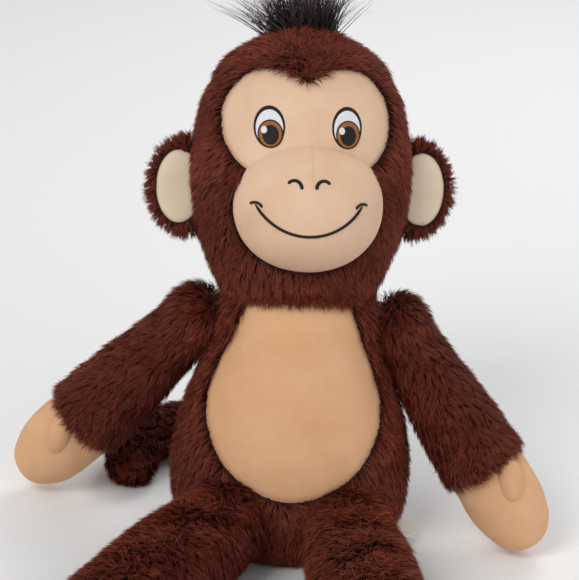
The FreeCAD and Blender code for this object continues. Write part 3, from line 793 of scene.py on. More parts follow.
@dataclass(frozen=True)
class Pile:
    """A pile fabric's cut: how long, wide and dense its fibres are, and how they stand, lie and clump.

    Attributes:
        length: length of a fibre in millimetres.
        width: its width at the root.
        root_depth: how far its root is sunk in the skin.
        per_mm2: fibres in a square millimetre.
        stand: share of the length that stands off the skin.
        lay: share of the length that lies along it.
        stray: how much single fibres turn away from the comb.
        swirl: how much whole patches do.
        swirl_wave: size of those patches.
        lock: size of a lock of fibres.
        pull: how far tips are drawn to the middle of their lock.
        shortest: the least length, as a share.
        uneven: how much longer a single fibre may be, as a share.
        lock_uneven: how much locks differ in length, as a share.
        twist: most turn of a ribbon about its own run, in radians.
    """

    length: float = 9.0
    width: float = 0.5
    root_depth: float = 0.5
    per_mm2: float = 2.3
    stand: float = 0.55
    lay: float = 0.72
    stray: float = 0.3
    swirl: float = 0.45
    swirl_wave: float = 34.0
    lock: float = 4.6
    pull: float = 0.5
    shortest: float = 0.72
    uneven: float = 0.36
    lock_uneven: float = 0.16
    twist: float = 0.9

    def grow(
        self,
        name: str,
        skin: Skin,
        comb: Field,
        keep: Field,
        seed: int,
        material: bpy.types.Material,
        body: str,
    ) -> bpy.types.Object:
        """Roots fibres all over a skin as tapered ribbons of one quad and one triangle.

        A root is a random point of a random quad, drawn by area. The fibre's tip is the root plus length
        times (stand times normal plus lay times combed direction), drawn towards the middle of its lock.

        Args:
            name: name of the piece.
            skin: the surface.
            comb: direction of the lay for points of the row frame, of any length.
            keep: share of fibres kept at those points, from 0 to 1.
            seed: seed of the random numbers.
            material: finish of the pile.
            body: body that the pile rides on.

        Returns:
            The piece.
        """
        rng = np.random.default_rng(seed)
        quads = grid_faces(*skin.points.shape[:2])
        flat, normals = skin.points.reshape(-1, 3), skin.outward().reshape(-1, 3)
        a, b, c, d = (flat[quads[:, i]] for i in range(4))
        area = 0.5 * np.linalg.norm(np.cross(c - a, d - b), axis=1) * keep((a + b + c + d) / 4)
        count = int(area.sum() * self.per_mm2)
        drawn = np.searchsorted(np.cumsum(area) / area.sum(), rng.random(count))
        face = quads[drawn.clip(0, len(quads) - 1)]
        u, v = rng.random((2, count, 1))
        weights = [(1 - u) * (1 - v), u * (1 - v), u * v, (1 - u) * v]
        root = sum(w * flat[face[:, i]] for i, w in enumerate(weights))
        normal = unit(sum(w * normals[face[:, i]] for i, w in enumerate(weights)))
        kept = rng.random(count) < keep(root)
        root, normal = root[kept], normal[kept]
        mesh = self.fibres(name, root, normal, comb(root), rng)
        LOG.info("%s: %d fibres", name, len(root))
        return add_piece(name, mesh, material, body)

    def fibres(
        self, name: str, root: Array, normal: Array, comb: Array, rng: np.random.Generator
    ) -> bpy.types.Mesh:
        """The ribbons of given roots, with their place along the fibre, own shade and lock stored.

        Args:
            name: name of the mesh.
            root: where each fibre is rooted.
            normal: the skin's normal there.
            comb: direction of the lay there, of any length.
            rng: source of the random numbers.

        Returns:
            The mesh.
        """
        count = len(root)
        strays = self.stray * rng.normal(size=(count, 3))
        lie = unit(comb) + self.swirl * swirl(root, self.swirl_wave) + strays
        lie = unit(lie - np.sum(lie * normal, axis=1, keepdims=True) * normal)
        centre, lock = nearest_lock(root + 0.35 * self.length * lie, self.lock)
        draw = centre - root
        draw = self.pull * (draw - np.sum(draw * normal, axis=1, keepdims=True) * normal)
        share = self.shortest + self.uneven * rng.random((count, 1))
        tall = self.length * (share + self.lock_uneven * (lock[:, None] - 0.5))
        lift = self.stand * (0.8 + 0.4 * rng.random((count, 1)))
        tip = root + tall * (lift * normal + self.lay * lie) + draw
        middle = root + 0.5 * tall * (1.3 * lift * normal + 0.8 * self.lay * lie) + 0.4 * draw
        run = unit(tip - root)
        side = unit(np.cross(normal, run) + 1e-6)
        tilt = rng.uniform(-self.twist, self.twist, (count, 1))
        across = side * np.cos(tilt) + np.cross(run, side) * np.sin(tilt)
        across *= self.width / 2 * (0.75 + 0.5 * rng.random((count, 1)))
        foot, waist = root - self.root_depth * normal, 0.8 * across
        points = np.stack([foot + across, foot - across, middle - waist, middle + waist, tip], axis=1)
        points[..., 2] = np.maximum(points[..., 2], FLOOR_SKIN * 0.5)
        first = np.arange(count)[:, None] * RIBBON_POINTS
        corners = (first + np.array([0, 1, 2, 3, 3, 2, 4])).ravel()
        mesh = raw_mesh(name, points.reshape(-1, 3) * MM, corners, np.tile([4, 3], count))
        write_attribute(mesh, "along", np.tile([0, 0, 0.5, 0.5, 1.0], count))
        write_attribute(mesh, "fibre", np.repeat(rng.random(count), RIBBON_POINTS))
        write_attribute(mesh, "lock", np.repeat(lock, RIBBON_POINTS))
        quad = [[0, 0], [1, 0], [1, 0.5], [0, 0.5]]
        point = [[0, 0.5], [1, 0.5], [0.5, 1]]
        lay_out(mesh, count, np.array(quad + point))
        return mesh


def outline_patch(
    outline: Field,
    height: Callable[[Array, Array], Array],
    centre: tuple[float, float],
    lift: float,
    sink: float = 1.2,
    rows: int = 28,
    columns: int = 128,
    crisp: float = 8.0,
) -> tuple[Array, Array]:
    """A thin closed panel that lies on a front surface inside an outline.

    A point is at centre plus share times outline(angle), and its y is the surface less lift times
    (1 - share^crisp). The panel's underside is the same, sunk below the surface.

    Args:
        outline: radius of the outline for each angle.
        height: y of the surface at x and z.
        centre: x and z of the middle.
        lift: how far the panel stands in front of the surface.
        sink: how far its underside lies behind it.
        rows: rings of the front.
        columns: points round it.
        crisp: how square the edge is.

    Returns:
        The grid of points, and each point's nearness to the edge from 0 to 1.
    """
    angle = np.linspace(0, 2 * math.pi, columns, endpoint=False)
    share = np.sin(np.linspace(0, math.pi / 2, rows))
    share = np.concatenate([share, share[::-1]])[:, None]
    front = np.arange(2 * rows)[:, None] < rows
    x = centre[0] + share * outline(angle) * np.cos(angle)
    z = centre[1] + share * outline(angle) * np.sin(angle)
    y = height(x, z) + np.where(front, -lift, sink) * (1 - share**crisp)
    edge = np.broadcast_to(np.clip((share - EDGE_FROM) / (1 - EDGE_FROM), 0, 1), x.shape)
    return np.stack([x, y, z], axis=-1), edge


def ellipse_outline(half_x: float, half_z: float) -> Field:
    """The radius of an ellipse at each angle."""
    return lambda angle: half_x * half_z / np.hypot(half_z * np.cos(angle), half_x * np.sin(angle))


def cord_along(path: Array, normal: Array, half_width: float, height: float, columns: int = 12) -> Array:
    """A flattened cord carried along a path: an ellipse across it, drawn to a point at both ends.

    Args:
        path: points of its middle.
        normal: the surface's normal at each of them.
        half_width: half its width along the surface.
        height: how far it stands off the middle.
        columns: points round it.

    Returns:
        The grid of points, ring by ring.
    """
    end_share = 0.06
    side = unit(np.cross(unit(np.gradient(path, axis=0)), normal))
    angle = np.linspace(0, 2 * math.pi, columns, endpoint=False)[None, :, None]
    place = np.linspace(0, 1, len(path))
    taper = np.minimum(1, np.minimum(place, 1 - place) / end_share) ** 0.5
    section = side[:, None] * half_width * np.cos(angle) + normal[:, None] * height * np.sin(angle)
    return path[:, None] + taper[:, None, None] * section


# ---------------------------------------------------------------- sub-assemblies
@dataclass
class Part:
    """What every sub-assembly has: the finishes, and how it puts a skin and its pile in the scene."""

    wardrobe: Wardrobe

    def upholster(self, name: str, skin: Skin, body: str, nodes: list[str], fill: float) -> None:
        """Adds a stuffed skin that stands for the CAD panels and the stuffing inside them.

        Args:
            name: name of the piece.
            skin: its surface.
            body: the body that it rides on.
            nodes: the CAD nodes that it replaces.
            fill: how full the cover is, from 0 to 1; not used.
        """
        piece = add_piece(name, skin.mesh(name + "_mesh"), self.wardrobe.backing, body)
        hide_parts(*nodes)
        LOG.info("%s: skin", name)

    def applique(
        self, name: str, mesh: bpy.types.Mesh, material: bpy.types.Material, body: str, nodes: list[str]
    ) -> bpy.types.Object:
        """Adds a velboa piece that stands for CAD nodes.

        Args:
            name: name of the piece.
            mesh: its mesh.
            material: its velboa.
            body: the body that it rides on.
            nodes: the CAD nodes that it replaces.

        Returns:
            The piece.
        """
        piece = add_piece(name, mesh, material, body)
        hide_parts(*nodes)
        LOG.info("%s: velboa", name)
        return piece


@dataclass
class Torso(Part):
    """The seated body: a pear-shaped bag of four furred panels and a seat, with a velboa bib."""

    rises: tuple = (-16.0, -3.0, 12.0, 40.0, 70.0, 98.0, 118.0)
    widths: tuple = (26.0, 46.0, 59.0, 65.0, 61.0, 52.0, 46.0)
    depths: tuple = (22.0, 41.0, 50.0, 54.0, 52.0, 48.0, 46.0)
    dome: float = 46.0
    bib_bowl: float = 50.0
    bib_bowl_rise: float = 80.0
    bib_top: float = 143.0
    bib_top_half: float = 28.0
    bib_middle: float = 92.0
    bowl_from: float = -200.0
    bowl_to: float = 20.0
    arm_hollow: float = 18.2
    leg_hollow: float = 23.7
    arm_bare: float = 18.4
    leg_bare: float = 24.5
    pile_top: float = 152.0
    columns: int = 160

    def skin(self) -> Skin:
        """Level ellipses through the sections, a dome on top, hollows for the limbs and a flat seat.

        Returns:
            The torso's surface.
        """
        turned = np.linspace(0, math.pi / 2, 16)
        bottom = np.linspace(0, 1, 6)[:-1]
        rise = np.linspace(self.rises[0], self.rises[-1], 70)
        top = self.rises[-1] + self.dome * np.sin(turned[1:])
        round_ = self.dome * np.cos(turned[1:])
        width = np.concatenate([bottom * self.widths[0], through(self.rises, self.widths, rise), round_])
        depth = np.concatenate([bottom * self.depths[0], through(self.rises, self.depths, rise), round_])
        level = np.concatenate([np.full(len(bottom), self.rises[0]), rise, top])
        points = SPINE.out(sweep_rings(level, width, depth, self.columns))
        for side in Side:
            points = push_out(points, pivot(f"arm_raise_{side.word}"), self.arm_hollow)
            points = push_out(points, pivot(f"leg_spread_{side.word}"), self.leg_hollow)
        return Skin(settle(points))

    def front(self, x: Array, rise: Array) -> Array:
        """The y of the front: an ellipse below the dome and a ball above.

        Args:
            x: places across the body.
            rise: places up the spine.

        Returns:
            The y of each place.
        """
        width, depth = through(self.rises, self.widths, rise), through(self.rises, self.depths, rise)
        pear = depth * np.sqrt(np.maximum(1 - (x / width) ** 2, 0.0))
        ball = np.sqrt(np.maximum(self.dome**2 - (rise - self.rises[-1]) ** 2 - x**2, 0.0))
        return -np.where(rise < self.rises[-1], pear, ball)

    def bib_outline(self, angle: Array) -> Array:
        """Radius of the bib from its middle: a round bowl, with straight sides up to the neck.

        Args:
            angle: bearings from the middle, in radians.

        Returns:
            The radius at each bearing.
        """
        arc = np.radians(np.linspace(self.bowl_from, self.bowl_to, 90))
        bowl = self.bib_bowl * np.column_stack([np.cos(arc), np.sin(arc)]) + (0, self.bib_bowl_rise)
        top = np.array([[self.bib_top_half, self.bib_top], [-self.bib_top_half, self.bib_top]])
        path = np.vstack([bowl, top, bowl[:1]])
        share = np.linspace(0, 1, 12)[:, None]
        dense = np.concatenate([a + share * (b - a) for a, b in zip(path[:-1], path[1:])])
        dense = dense - (0, self.bib_middle)
        bearing = np.arctan2(dense[:, 1], dense[:, 0])
        order = np.argsort(bearing)
        wrapped = (angle + math.pi) % (2 * math.pi) - math.pi
        return np.interp(wrapped, bearing[order], np.hypot(*dense[order].T), period=2 * math.pi)

    def comb(self, points: Array) -> Array:
        """The pile lies down the body and a little outwards.

        Args:
            points: places in the row frame.

        Returns:
            The direction of the lay at each place.
        """
        local = SPINE.within(points)
        outwards = 0.25 * local[:, 0] / 60
        lean = np.column_stack([outwards, np.zeros(len(local)), np.full(len(local), -1.0)])
        return lean @ SPINE.axes.T

    def furred(self, points: Array) -> Array:
        """No pile in the bib, in the limbs' hollows, under the seat or deep inside the head's socket.

        Args:
            points: places in the row frame.

        Returns:
            The share of the fibres kept at each place.
        """
        local = SPINE.within(points)
        x, rise = local[:, 0], local[:, 2]
        reach = np.hypot(x, rise - self.bib_middle)
        inside = reach < self.bib_outline(np.arctan2(rise - self.bib_middle, x)) - PILE_MARGIN
        bare = (inside & (local[:, 1] < 0)) | (points[:, 2] < 1.5) | (rise > self.pile_top)
        for side in Side:
            bare |= np.linalg.norm(points - pivot(f"arm_raise_{side.word}"), axis=1) < self.arm_bare
            bare |= np.linalg.norm(points - pivot(f"leg_spread_{side.word}"), axis=1) < self.leg_bare
        return np.where(bare, 0.0, 1.0)

    def on_panel(self, points: Array, ahead: int, side: Side) -> Array:
        """The share of the fibres that one of the four panels keeps.

        Args:
            points: places in the row frame.
            ahead: -1 for a front panel and 1 for a back one.
            side: the panel's side.

        Returns:
            The share kept at each place.
        """
        local = SPINE.within(points)
        here = (local[:, 1] * ahead > 0) & (local[:, 0] * side.value > 0)
        return self.furred(points) * here

    def build(self) -> None:
        """Makes the skin, its four piles and the bib, and gives the closing stitches, the label and the neck
        seam new finishes.
        """
        skin = self.skin()
        panels = {(face, side): f"torso_{face}_{side.word}" for face in ("front", "back") for side in Side}
        nodes = ["seat_gusset", *panels.values(), "torso_stuffing"]
        look = self.wardrobe
        self.upholster("torso_skin", skin, "torso", nodes, 0.85)
        for number, ((face, side), panel) in enumerate(panels.items()):
            keep = partial(self.on_panel, ahead=-1 if face == "front" else 1, side=side)
            Pile(length=9.5).grow(f"{panel}_pile", skin, self.comb, keep, 11 + number, look.pile, "torso")
        points, edge = outline_patch(self.bib_outline, self.front, (0.0, self.bib_middle), 1.4)
        # painted shade: the bib darkens towards its edge, where the pile overhangs it
        mesh = Skin(SPINE.out(points)).mesh("bib_mesh", {"edge": edge})
        self.applique("belly_bib", mesh, look.warm_velboa, "torso", ["belly_patch"])
        repaint("back_closing_stitches", look.brown)
        repaint("blank_side_label", look.tape)
        repaint("neck_seam", look.seam)


def repaint(node: str, material: bpy.types.Material) -> None:
    """Gives a CAD node another material, by its material slots.

    Args:
        node: name of the node.
        material: its finish.
    """
    piece = frame["nodes"][node]
    for place in piece.material_slots:
        place.material = material
    if not piece.material_slots:
        piece.data.materials.append(material)


@dataclass
class Head(Part):
    """The furred head over its socket, with the velboa face, the muzzle, the embroidery and the hair."""

    rises: tuple = (26.0, 42.0, 62.0, 90.0, 116.0, 141.0, 160.0, 172.0)
    widths: tuple = (41.0, 48.0, 55.0, 59.5, 57.5, 50.0, 37.0, 16.0)
    flatness: float = 0.92
    socket: float = 47.6
    lobe_x: float = 20.0
    lobe_rise: float = 125.0
    lobe_half: tuple[float, float] = (27.5, 30.0)
    muzzle_middle: tuple[float, float, float] = (1.6, -38.0, 78.5)
    muzzle_half: tuple[float, float, float] = (42.0, 37.0, 37.5)
    gusset_half: float = 20.0
    smile_radius: float = 34.0
    smile_rise: float = 98.0
    lobe_blend: int = 14
    socket_wall: float = 0.8
    socket_top: float = 46.0
    crown_from: float = 165.0
    crown_top: float = 173.5
    crease_half: float = 1.1
    crease_depth: float = 0.6
    crease_from: float = 8.0
    eye_x: float = 21.5
    eye_rise: float = 122.5
    tick_radius: float = 4.0
    tick_sink: float = 3.2
    columns: int = 160

    def section(self, rise: Array) -> tuple[Array, Array]:
        """Half width and half depth above the neck's pivot, never less than the socket and its wall.

        Args:
            rise: places above the pivot.

        Returns:
            The half width and the half depth at each place.
        """
        width = through(self.rises, self.widths, rise)
        socket = np.sqrt(np.maximum(self.socket**2 - rise**2, 0)) + self.socket_wall
        return width, np.maximum(self.flatness * width, np.where(rise < self.socket_top, socket, 0))

    def skin(self) -> Skin:
        """The inside of the socket, then level ellipses through the sections up to the crown.

        Returns:
            The head's surface.
        """
        rim = math.asin(self.rises[0] / self.socket)
        cap = np.linspace(math.pi / 2, rim, 14)
        last = self.rises[-1]
        crown = last - (last - self.crown_from) * np.linspace(1, 0, 8)[1:] ** 2
        rise = np.concatenate([np.linspace(self.rises[0], self.crown_from, 84), crown])
        width, depth = self.section(rise)
        width, depth = np.append(width, 0.0), np.append(depth, 0.0)
        width = np.concatenate([self.socket * np.cos(cap), width])
        depth = np.concatenate([self.socket * np.cos(cap), depth])
        level = np.concatenate([self.socket * np.sin(cap), rise, [self.crown_top]])
        return Skin(HEAD.out(sweep_rings(level, width, depth, self.columns)))

    def front(self, x: Array, rise: Array) -> Array:
        """The y of the head's front."""
        width, depth = self.section(rise)
        return -depth * np.sqrt(np.maximum(1 - (x / width) ** 2, 0.0))

    def snout(self, x: Array, rise: Array) -> Array:
        """The y of the muzzle's front, an ellipsoid's.

        Args:
            x: places across the head.
            rise: places up it.

        Returns:
            The y of each place.
        """
        side = (x - self.muzzle_middle[0]) / self.muzzle_half[0]
        rest = 1 - side**2 - ((rise - self.muzzle_middle[2]) / self.muzzle_half[2]) ** 2
        return self.muzzle_middle[1] - self.muzzle_half[1] * np.sqrt(np.maximum(rest, 0.0))

    def face_outline(self, angle: Array) -> Array:
        """Radius of two overlapping ellipses from the point midway between them, as a rounded maximum.

        Args:
            angle: bearings from that point, in radians.

        Returns:
            The radius at each bearing.
        """
        a, b = self.lobe_half
        total = np.zeros_like(angle)
        for shift in (self.lobe_x, -self.lobe_x):
            square = (np.cos(angle) / a) ** 2 + (np.sin(angle) / b) ** 2
            cross = np.cos(angle) * shift / a**2
            reach = (cross + np.sqrt(cross**2 - square * ((shift / a) ** 2 - 1))) / square
            total = total + reach**self.lobe_blend
        return total ** (1 / self.lobe_blend)

    def comb(self, points: Array) -> Array:
        """The pile lies down the head, away from the face and backwards.

        Args:
            points: places in the row frame.

        Returns:
            The direction of the lay at each place.
        """
        local = HEAD.within(points)
        out = unit(np.column_stack([local[:, 0], np.zeros(len(local)), local[:, 2] - 105]))
        lean = 0.55 * out + np.array([0.0, 0.25, -0.75])
        return lean @ HEAD.axes.T

    def furred(self, points: Array) -> Array:
        """No pile on the face, behind the muzzle or inside the socket.

        Args:
            points: places in the row frame.

        Returns:
            The share of the fibres kept at each place.
        """
        local = HEAD.within(points)
        x, y, rise = local.T
        reach = np.hypot(x, rise - self.lobe_rise)
        face = reach < self.face_outline(np.arctan2(rise - self.lobe_rise, x)) - PILE_MARGIN
        half_x, _, half_z = np.array(self.muzzle_half) - 2
        muzzle = np.hypot(x / half_x, (rise - self.muzzle_middle[2]) / half_z) < 1
        socket = np.linalg.norm(local, axis=1) < self.socket + 0.2
        return np.where(((face | muzzle) & (y < 0)) | socket, 0.0, 1.0)

    def in_zone(self, points: Array, low: float, high: float) -> Array:
        """The share of the fibres kept between two planes across the head.

        Args:
            points: places in the row frame.
            low: x of the lower plane.
            high: x of the upper plane.

        Returns:
            The share kept at each place.
        """
        x = HEAD.within(points)[:, 0]
        return self.furred(points) * ((x > low) & (x <= high))

    def build(self) -> None:
        """Makes the skin and its piles, then everything on the face."""
        look, skin = self.wardrobe, self.skin()
        nodes = ["head_back_gusset", "head_side_left", "head_side_right", "head_stuffing"]
        self.upholster("head_skin", skin, "head", nodes, 0.9)
        zones = {
            "head_side_right": (-math.inf, -self.gusset_half),
            "head_gusset": (-self.gusset_half, self.gusset_half),
            "head_side_left": (self.gusset_half, math.inf),
        }
        for number, (zone, (low, high)) in enumerate(zones.items()):
            keep = partial(self.in_zone, low=low, high=high)
            Pile(length=9.0).grow(f"{zone}_pile", skin, self.comb, keep, 21 + number, look.pile, "head")
        points, edge = outline_patch(self.face_outline, self.front, (0.0, self.lobe_rise), 1.2)
        # painted shade: the face darkens towards its edge, where the pile overhangs it
        mesh = Skin(HEAD.out(points)).mesh("face_mesh", {"edge": edge})
        self.applique("face_mask", mesh, look.velboa, "head", ["face_patch"])
        self.build_muzzle()
        for side in Side:
            self.build_eye(side)
        self.build_hair()

    def build_muzzle(self) -> None:
        """The muzzle with the crease of its centre seam, the nostrils and the smile."""
        look = self.wardrobe
        oval = oval_rings(self.muzzle_half, 60, 120, 2.1)
        above = np.clip((oval[..., 2] - self.crease_from) / self.crease_from, 0, 1)
        crease = np.exp(-((oval[..., 0] / self.crease_half) ** 2)) * (oval[..., 1] < 0) * above
        oval[..., 1] += self.crease_depth * crease
        # painted shade: the muzzle darkens along its centre crease
        mesh = Skin(HEAD.out(oval + self.muzzle_middle)).mesh("muzzle_mesh", {"edge": 0.3 * crease})
        muzzle = self.applique("muzzle", mesh, look.velboa, "head", ["muzzle_skin", "muzzle_stuffing"])
        arcs = [(-8.6, 90.6, 3.9, 150.0, -12.0), (7.4, 90.6, 3.9, 192.0, 30.0)]
        nose = [self.arc_cord(x, z, radius, start, end, 1.0, 40) for x, z, radius, start, end in arcs]
        self.join_threads("nostrils", nose, "nostrils")
        smile = self.arc_cord(0.0, self.smile_rise, self.smile_radius, 210.0, 330.0, 0.85, 120)
        ticks = []
        for sign in (-1, 1):
            turned = math.radians(-90 + sign * 60)
            x = self.smile_radius * math.cos(turned)
            z = self.smile_rise + self.smile_radius * math.sin(turned)
            bow = np.radians(np.linspace(-58, 58, 14)) - math.radians(14) * sign
            arc = self.tick_radius * np.column_stack([np.sin(bow), np.cos(bow)])
            ticks.append(self.thread(arc + (x, z - self.tick_sink), 0.75))
        self.join_threads("smile", [smile, *ticks], "mouth_line")

    def thread(self, path: Array, half_width: float) -> tuple[Array, Array]:
        """A thread cord laid on the muzzle.

        Args:
            path: x and z of its points.
            half_width: half its width.

        Returns:
            The cord's grid of points, and at each the length of thread up to it.
        """
        lift, height = 0.35, 0.8
        place = np.column_stack([path[:, 0], self.snout(path[:, 0], path[:, 1]) - lift, path[:, 1]])
        middle, half = np.array(self.muzzle_middle), np.array(self.muzzle_half)
        normal = unit((place - middle) / half**2)
        rings = cord_along(place, normal, half_width, height)
        run = np.concatenate([[0], np.cumsum(np.linalg.norm(np.diff(place, axis=0), axis=1))])
        return HEAD.out(rings), np.broadcast_to(run[:, None], rings.shape[:2])

    def arc_cord(
        self, x: float, z: float, radius: float, start: float, end: float, half_width: float, steps: int
    ) -> tuple[Array, Array]:
        """A thread cord along an arc.

        Args:
            x: x of the arc's centre.
            z: z of the arc's centre.
            radius: radius of the arc.
            start: bearing of its first point, in degrees.
            end: bearing of its last point.
            half_width: half the cord's width.
            steps: number of points.

        Returns:
            The cord's grid of points, and at each the length of thread up to it.
        """
        angle = np.radians(np.linspace(start, end, steps))
        path = np.column_stack([x + radius * np.cos(angle), z + radius * np.sin(angle)])
        return self.thread(path, half_width)

    def join_threads(self, name: str, cords: list[tuple[Array, Array]], node: str) -> None:
        """Adds cords of black thread that stand together for a CAD node.

        Args:
            name: name of the first piece.
            cords: each cord's grid of points and the lengths along it.
            node: the CAD node that the first piece replaces.
        """
        for number, (points, run) in enumerate(cords):
            label = f"{name}_tick_{number}" if number else name
            mesh = Skin(points).mesh(f"{name}_{number}", {"stitch": run})
            add_piece(label, mesh, self.wardrobe.black, "head")
        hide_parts(node)

    def build_eye(self, side: Side) -> None:
        """Six fields of thread, each on top of the one before.

        Args:
            side: the eye's side.
        """
        look, x, z = self.wardrobe, side.value * self.eye_x, self.eye_rise
        layers = [
            ("eye_outline", x, z, (8.8, 11.9), 1.7, look.black, "black_thread"),
            ("eye_white", x, z - 0.6, (7.8, 10.5), 1.95, look.white, "white_thread"),
            ("iris_ring", x + 0.5, z - 3.7, (7.3, 8.1), 2.15, look.black, "black_thread"),
            ("iris", x + 0.5, z - 3.8, (6.6, 7.4), 2.35, look.amber, "amber_thread"),
            ("pupil", x + 0.6, z - 4.4, (4.7, 5.7), 2.55, look.black, "black_thread"),
            ("glint", x - 3.0, z - 1.7, (1.75, 2.1), 2.75, look.white, "white_thread"),
        ]
        size = {"sink": 0.4, "rows": 10, "columns": 56, "crisp": 60.0}
        for name, middle_x, middle_z, half, lift, material, slot in layers:
            outline = ellipse_outline(*half)
            points, _ = outline_patch(outline, self.front, (middle_x, middle_z), lift, **size)
            stitch = points[..., 2] * 0.94 + points[..., 0] * 0.34
            mesh = Skin(HEAD.out(points)).mesh(f"{name}_{side.word}_mesh", {"stitch": stitch})
            piece = add_piece(f"{name}_{side.word}", mesh, material, "head")
            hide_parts(name.replace("iris_ring", "iris") + f"_{side.word}")
        LOG.info("eye_%s: %d fields of thread", side.word, len(layers))

    def build_hair(self) -> None:
        """A tuft of long flat strands that fan out of the crown."""
        rng = np.random.default_rng(5)
        count = 1100
        angle, share = rng.uniform(0, 2 * math.pi, count), np.sqrt(rng.random(count))
        spread = np.column_stack([16 * share * np.cos(angle), 8 * share * np.sin(angle), np.zeros(count)])
        root = spread + (0.0, -4.0, 166.0)
        root[:, 2] += 4.5 * (1 - share**2)
        tuft = np.array([(-0.72, -0.1, 0.8), (-0.05, -0.12, 1.0), (0.12, -0.05, 1.0), (0.6, 0.1, 0.85)])
        pick = rng.choice(4, count, p=(0.22, 0.5, 0.22, 0.06))
        aim = unit(tuft[pick] + spread / 70 + 0.09 * rng.normal(size=(count, 3)))
        tall = rng.uniform(26, 44, (count, 1))
        steps = np.linspace(0, 1, STRAND_STEPS)[:, None, None]
        bend = 0.3 * rng.normal(size=(count, 3)) * (1, 1, 0.2) + (0, 0, -0.18)
        spine = root + steps * tall * aim + steps**2 * tall * 0.5 * bend
        run = unit(np.gradient(spine, axis=0))
        half_width = 0.32 * (1 - 0.85 * steps)
        across = unit(np.cross(run, rng.normal(size=(count, 3)))) * half_width
        ribbon = np.stack([spine + across, spine - across], axis=1)
        ribbon = np.moveaxis(ribbon, 2, 0).reshape(count, 2 * STRAND_STEPS, 3)
        quads = 2 * np.arange(STRAND_STEPS - 1)[:, None] + np.array([0, 1, 3, 2])
        corners = (np.arange(count)[:, None] * 2 * STRAND_STEPS + quads.ravel()).ravel()
        points = HEAD.out(ribbon.reshape(-1, 3)) * MM
        faces = count * len(quads)
        mesh = raw_mesh("hair_mesh", points, corners, np.full(faces, 4))
        write_attribute(mesh, "along", np.tile(np.repeat(np.linspace(0, 1, STRAND_STEPS), 2), count))
        write_attribute(mesh, "fibre", np.repeat(rng.random(count), 2 * STRAND_STEPS))
        lay_out(mesh, faces, np.array([[0, 0], [1, 0], [1, 1], [0, 1]]))
        hair = add_piece("hair_strands", mesh, self.wardrobe.hair, "head")
        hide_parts("hair_tuft")
        LOG.info("hair_strands: %d strands", count)


@dataclass
class Ear(Part):
    """A flat, cupped ear: a furred back and rim, and a cream lining."""

    side: Side
    middle_x: float = 65.0
    rise: float = 85.5
    half: tuple[float, float, float] = (20.5, 5.8, 26.5)
    cup: float = 3.2
    root_cut: float = -7.5
    lining_x: float = 70.0
    lining_half: tuple[float, float] = (13.0, 21.0)
    lining_margin: float = 0.8
    bare_in_front: float = 64.0
    bare_behind: float = 59.0

    def front(self, x: Array, rise: Array) -> Array:
        """The y of the hollow front: a flat ellipsoid's, pressed in by the cup.

        Args:
            x: places across the head.
            rise: places up it.

        Returns:
            The y of each place.
        """
        across, up = (x - self.middle_x) / self.half[0], (rise - self.rise) / self.half[2]
        round_ = np.clip(across**2 + up**2, 0, 1)
        return -self.half[1] * np.sqrt(1 - round_) + self.cup * (1 - round_)

    def place(self, points: Array) -> Array:
        """Points of the left ear in the row frame, mirrored for the right ear."""
        return HEAD.out(points * (self.side.value, 1, 1))

    def skin(self) -> Skin:
        """A flat oval whose front is pressed in and whose root is cut at the head.

        Returns:
            The ear's surface.
        """
        oval = oval_rings(self.half, 48, 72)
        round_ = np.clip((oval[..., 0] / self.half[0]) ** 2 + (oval[..., 2] / self.half[2]) ** 2, 0, 1)
        oval[..., 1] += self.cup * (1 - round_) * (oval[..., 1] < 0)
        oval[..., 0] = np.maximum(oval[..., 0], self.root_cut)
        return Skin(self.place(oval + (self.middle_x, 0, self.rise)))

    def furred(self, points: Array) -> Array:
        """No pile on the lining or in the head.

        Args:
            points: places in the row frame.

        Returns:
            The share of the fibres kept at each place.
        """
        x, y, rise = (HEAD.within(points) * (self.side.value, 1, 1)).T
        half_x, half_z = np.array(self.lining_half) - self.lining_margin
        lined = np.hypot((x - self.lining_x) / half_x, (rise - self.rise) / half_z) < 1
        root = x < np.where(y < 0, self.bare_in_front, self.bare_behind)
        return np.where((lined & (y < 1)) | root, 0.0, 1.0)

    def comb(self, points: Array) -> Array:
        """The pile lies outwards over the rim.

        Args:
            points: places in the row frame.

        Returns:
            The direction of the lay at each place.
        """
        local = HEAD.within(points) * (self.side.value, 1, 1)
        out = np.column_stack([local[:, 0] - 62, np.zeros(len(local)), local[:, 2] - self.rise])
        return (unit(out) * (self.side.value, 1, 1) + (0, -0.1, -0.25)) @ HEAD.axes.T

    def build(self) -> None:
        """Makes the ear and its pile and lining."""
        look, word = self.wardrobe, self.side.word
        body, skin = f"ear_{word}", self.skin()
        self.upholster(f"ear_{word}_skin", skin, body, [f"ear_fur_{word}"], 0.3)
        pile = Pile(length=7.5, stand=0.4)
        pile.grow(f"ear_{word}_pile", skin, self.comb, self.furred, 31 + self.side.value, look.pile, body)
        outline = ellipse_outline(*self.lining_half)
        points, edge = outline_patch(outline, self.front, (self.lining_x, self.rise), 0.9, 0.8, 20, 80)
        # painted shade: the lining darkens towards its edge, under the rim's pile
        mesh = Skin(self.place(points)).mesh(f"ear_lining_{word}_mesh", {"edge": edge})
        self.applique(f"ear_lining_{word}_cloth", mesh, look.ear_velboa, body, [f"ear_lining_{word}"])


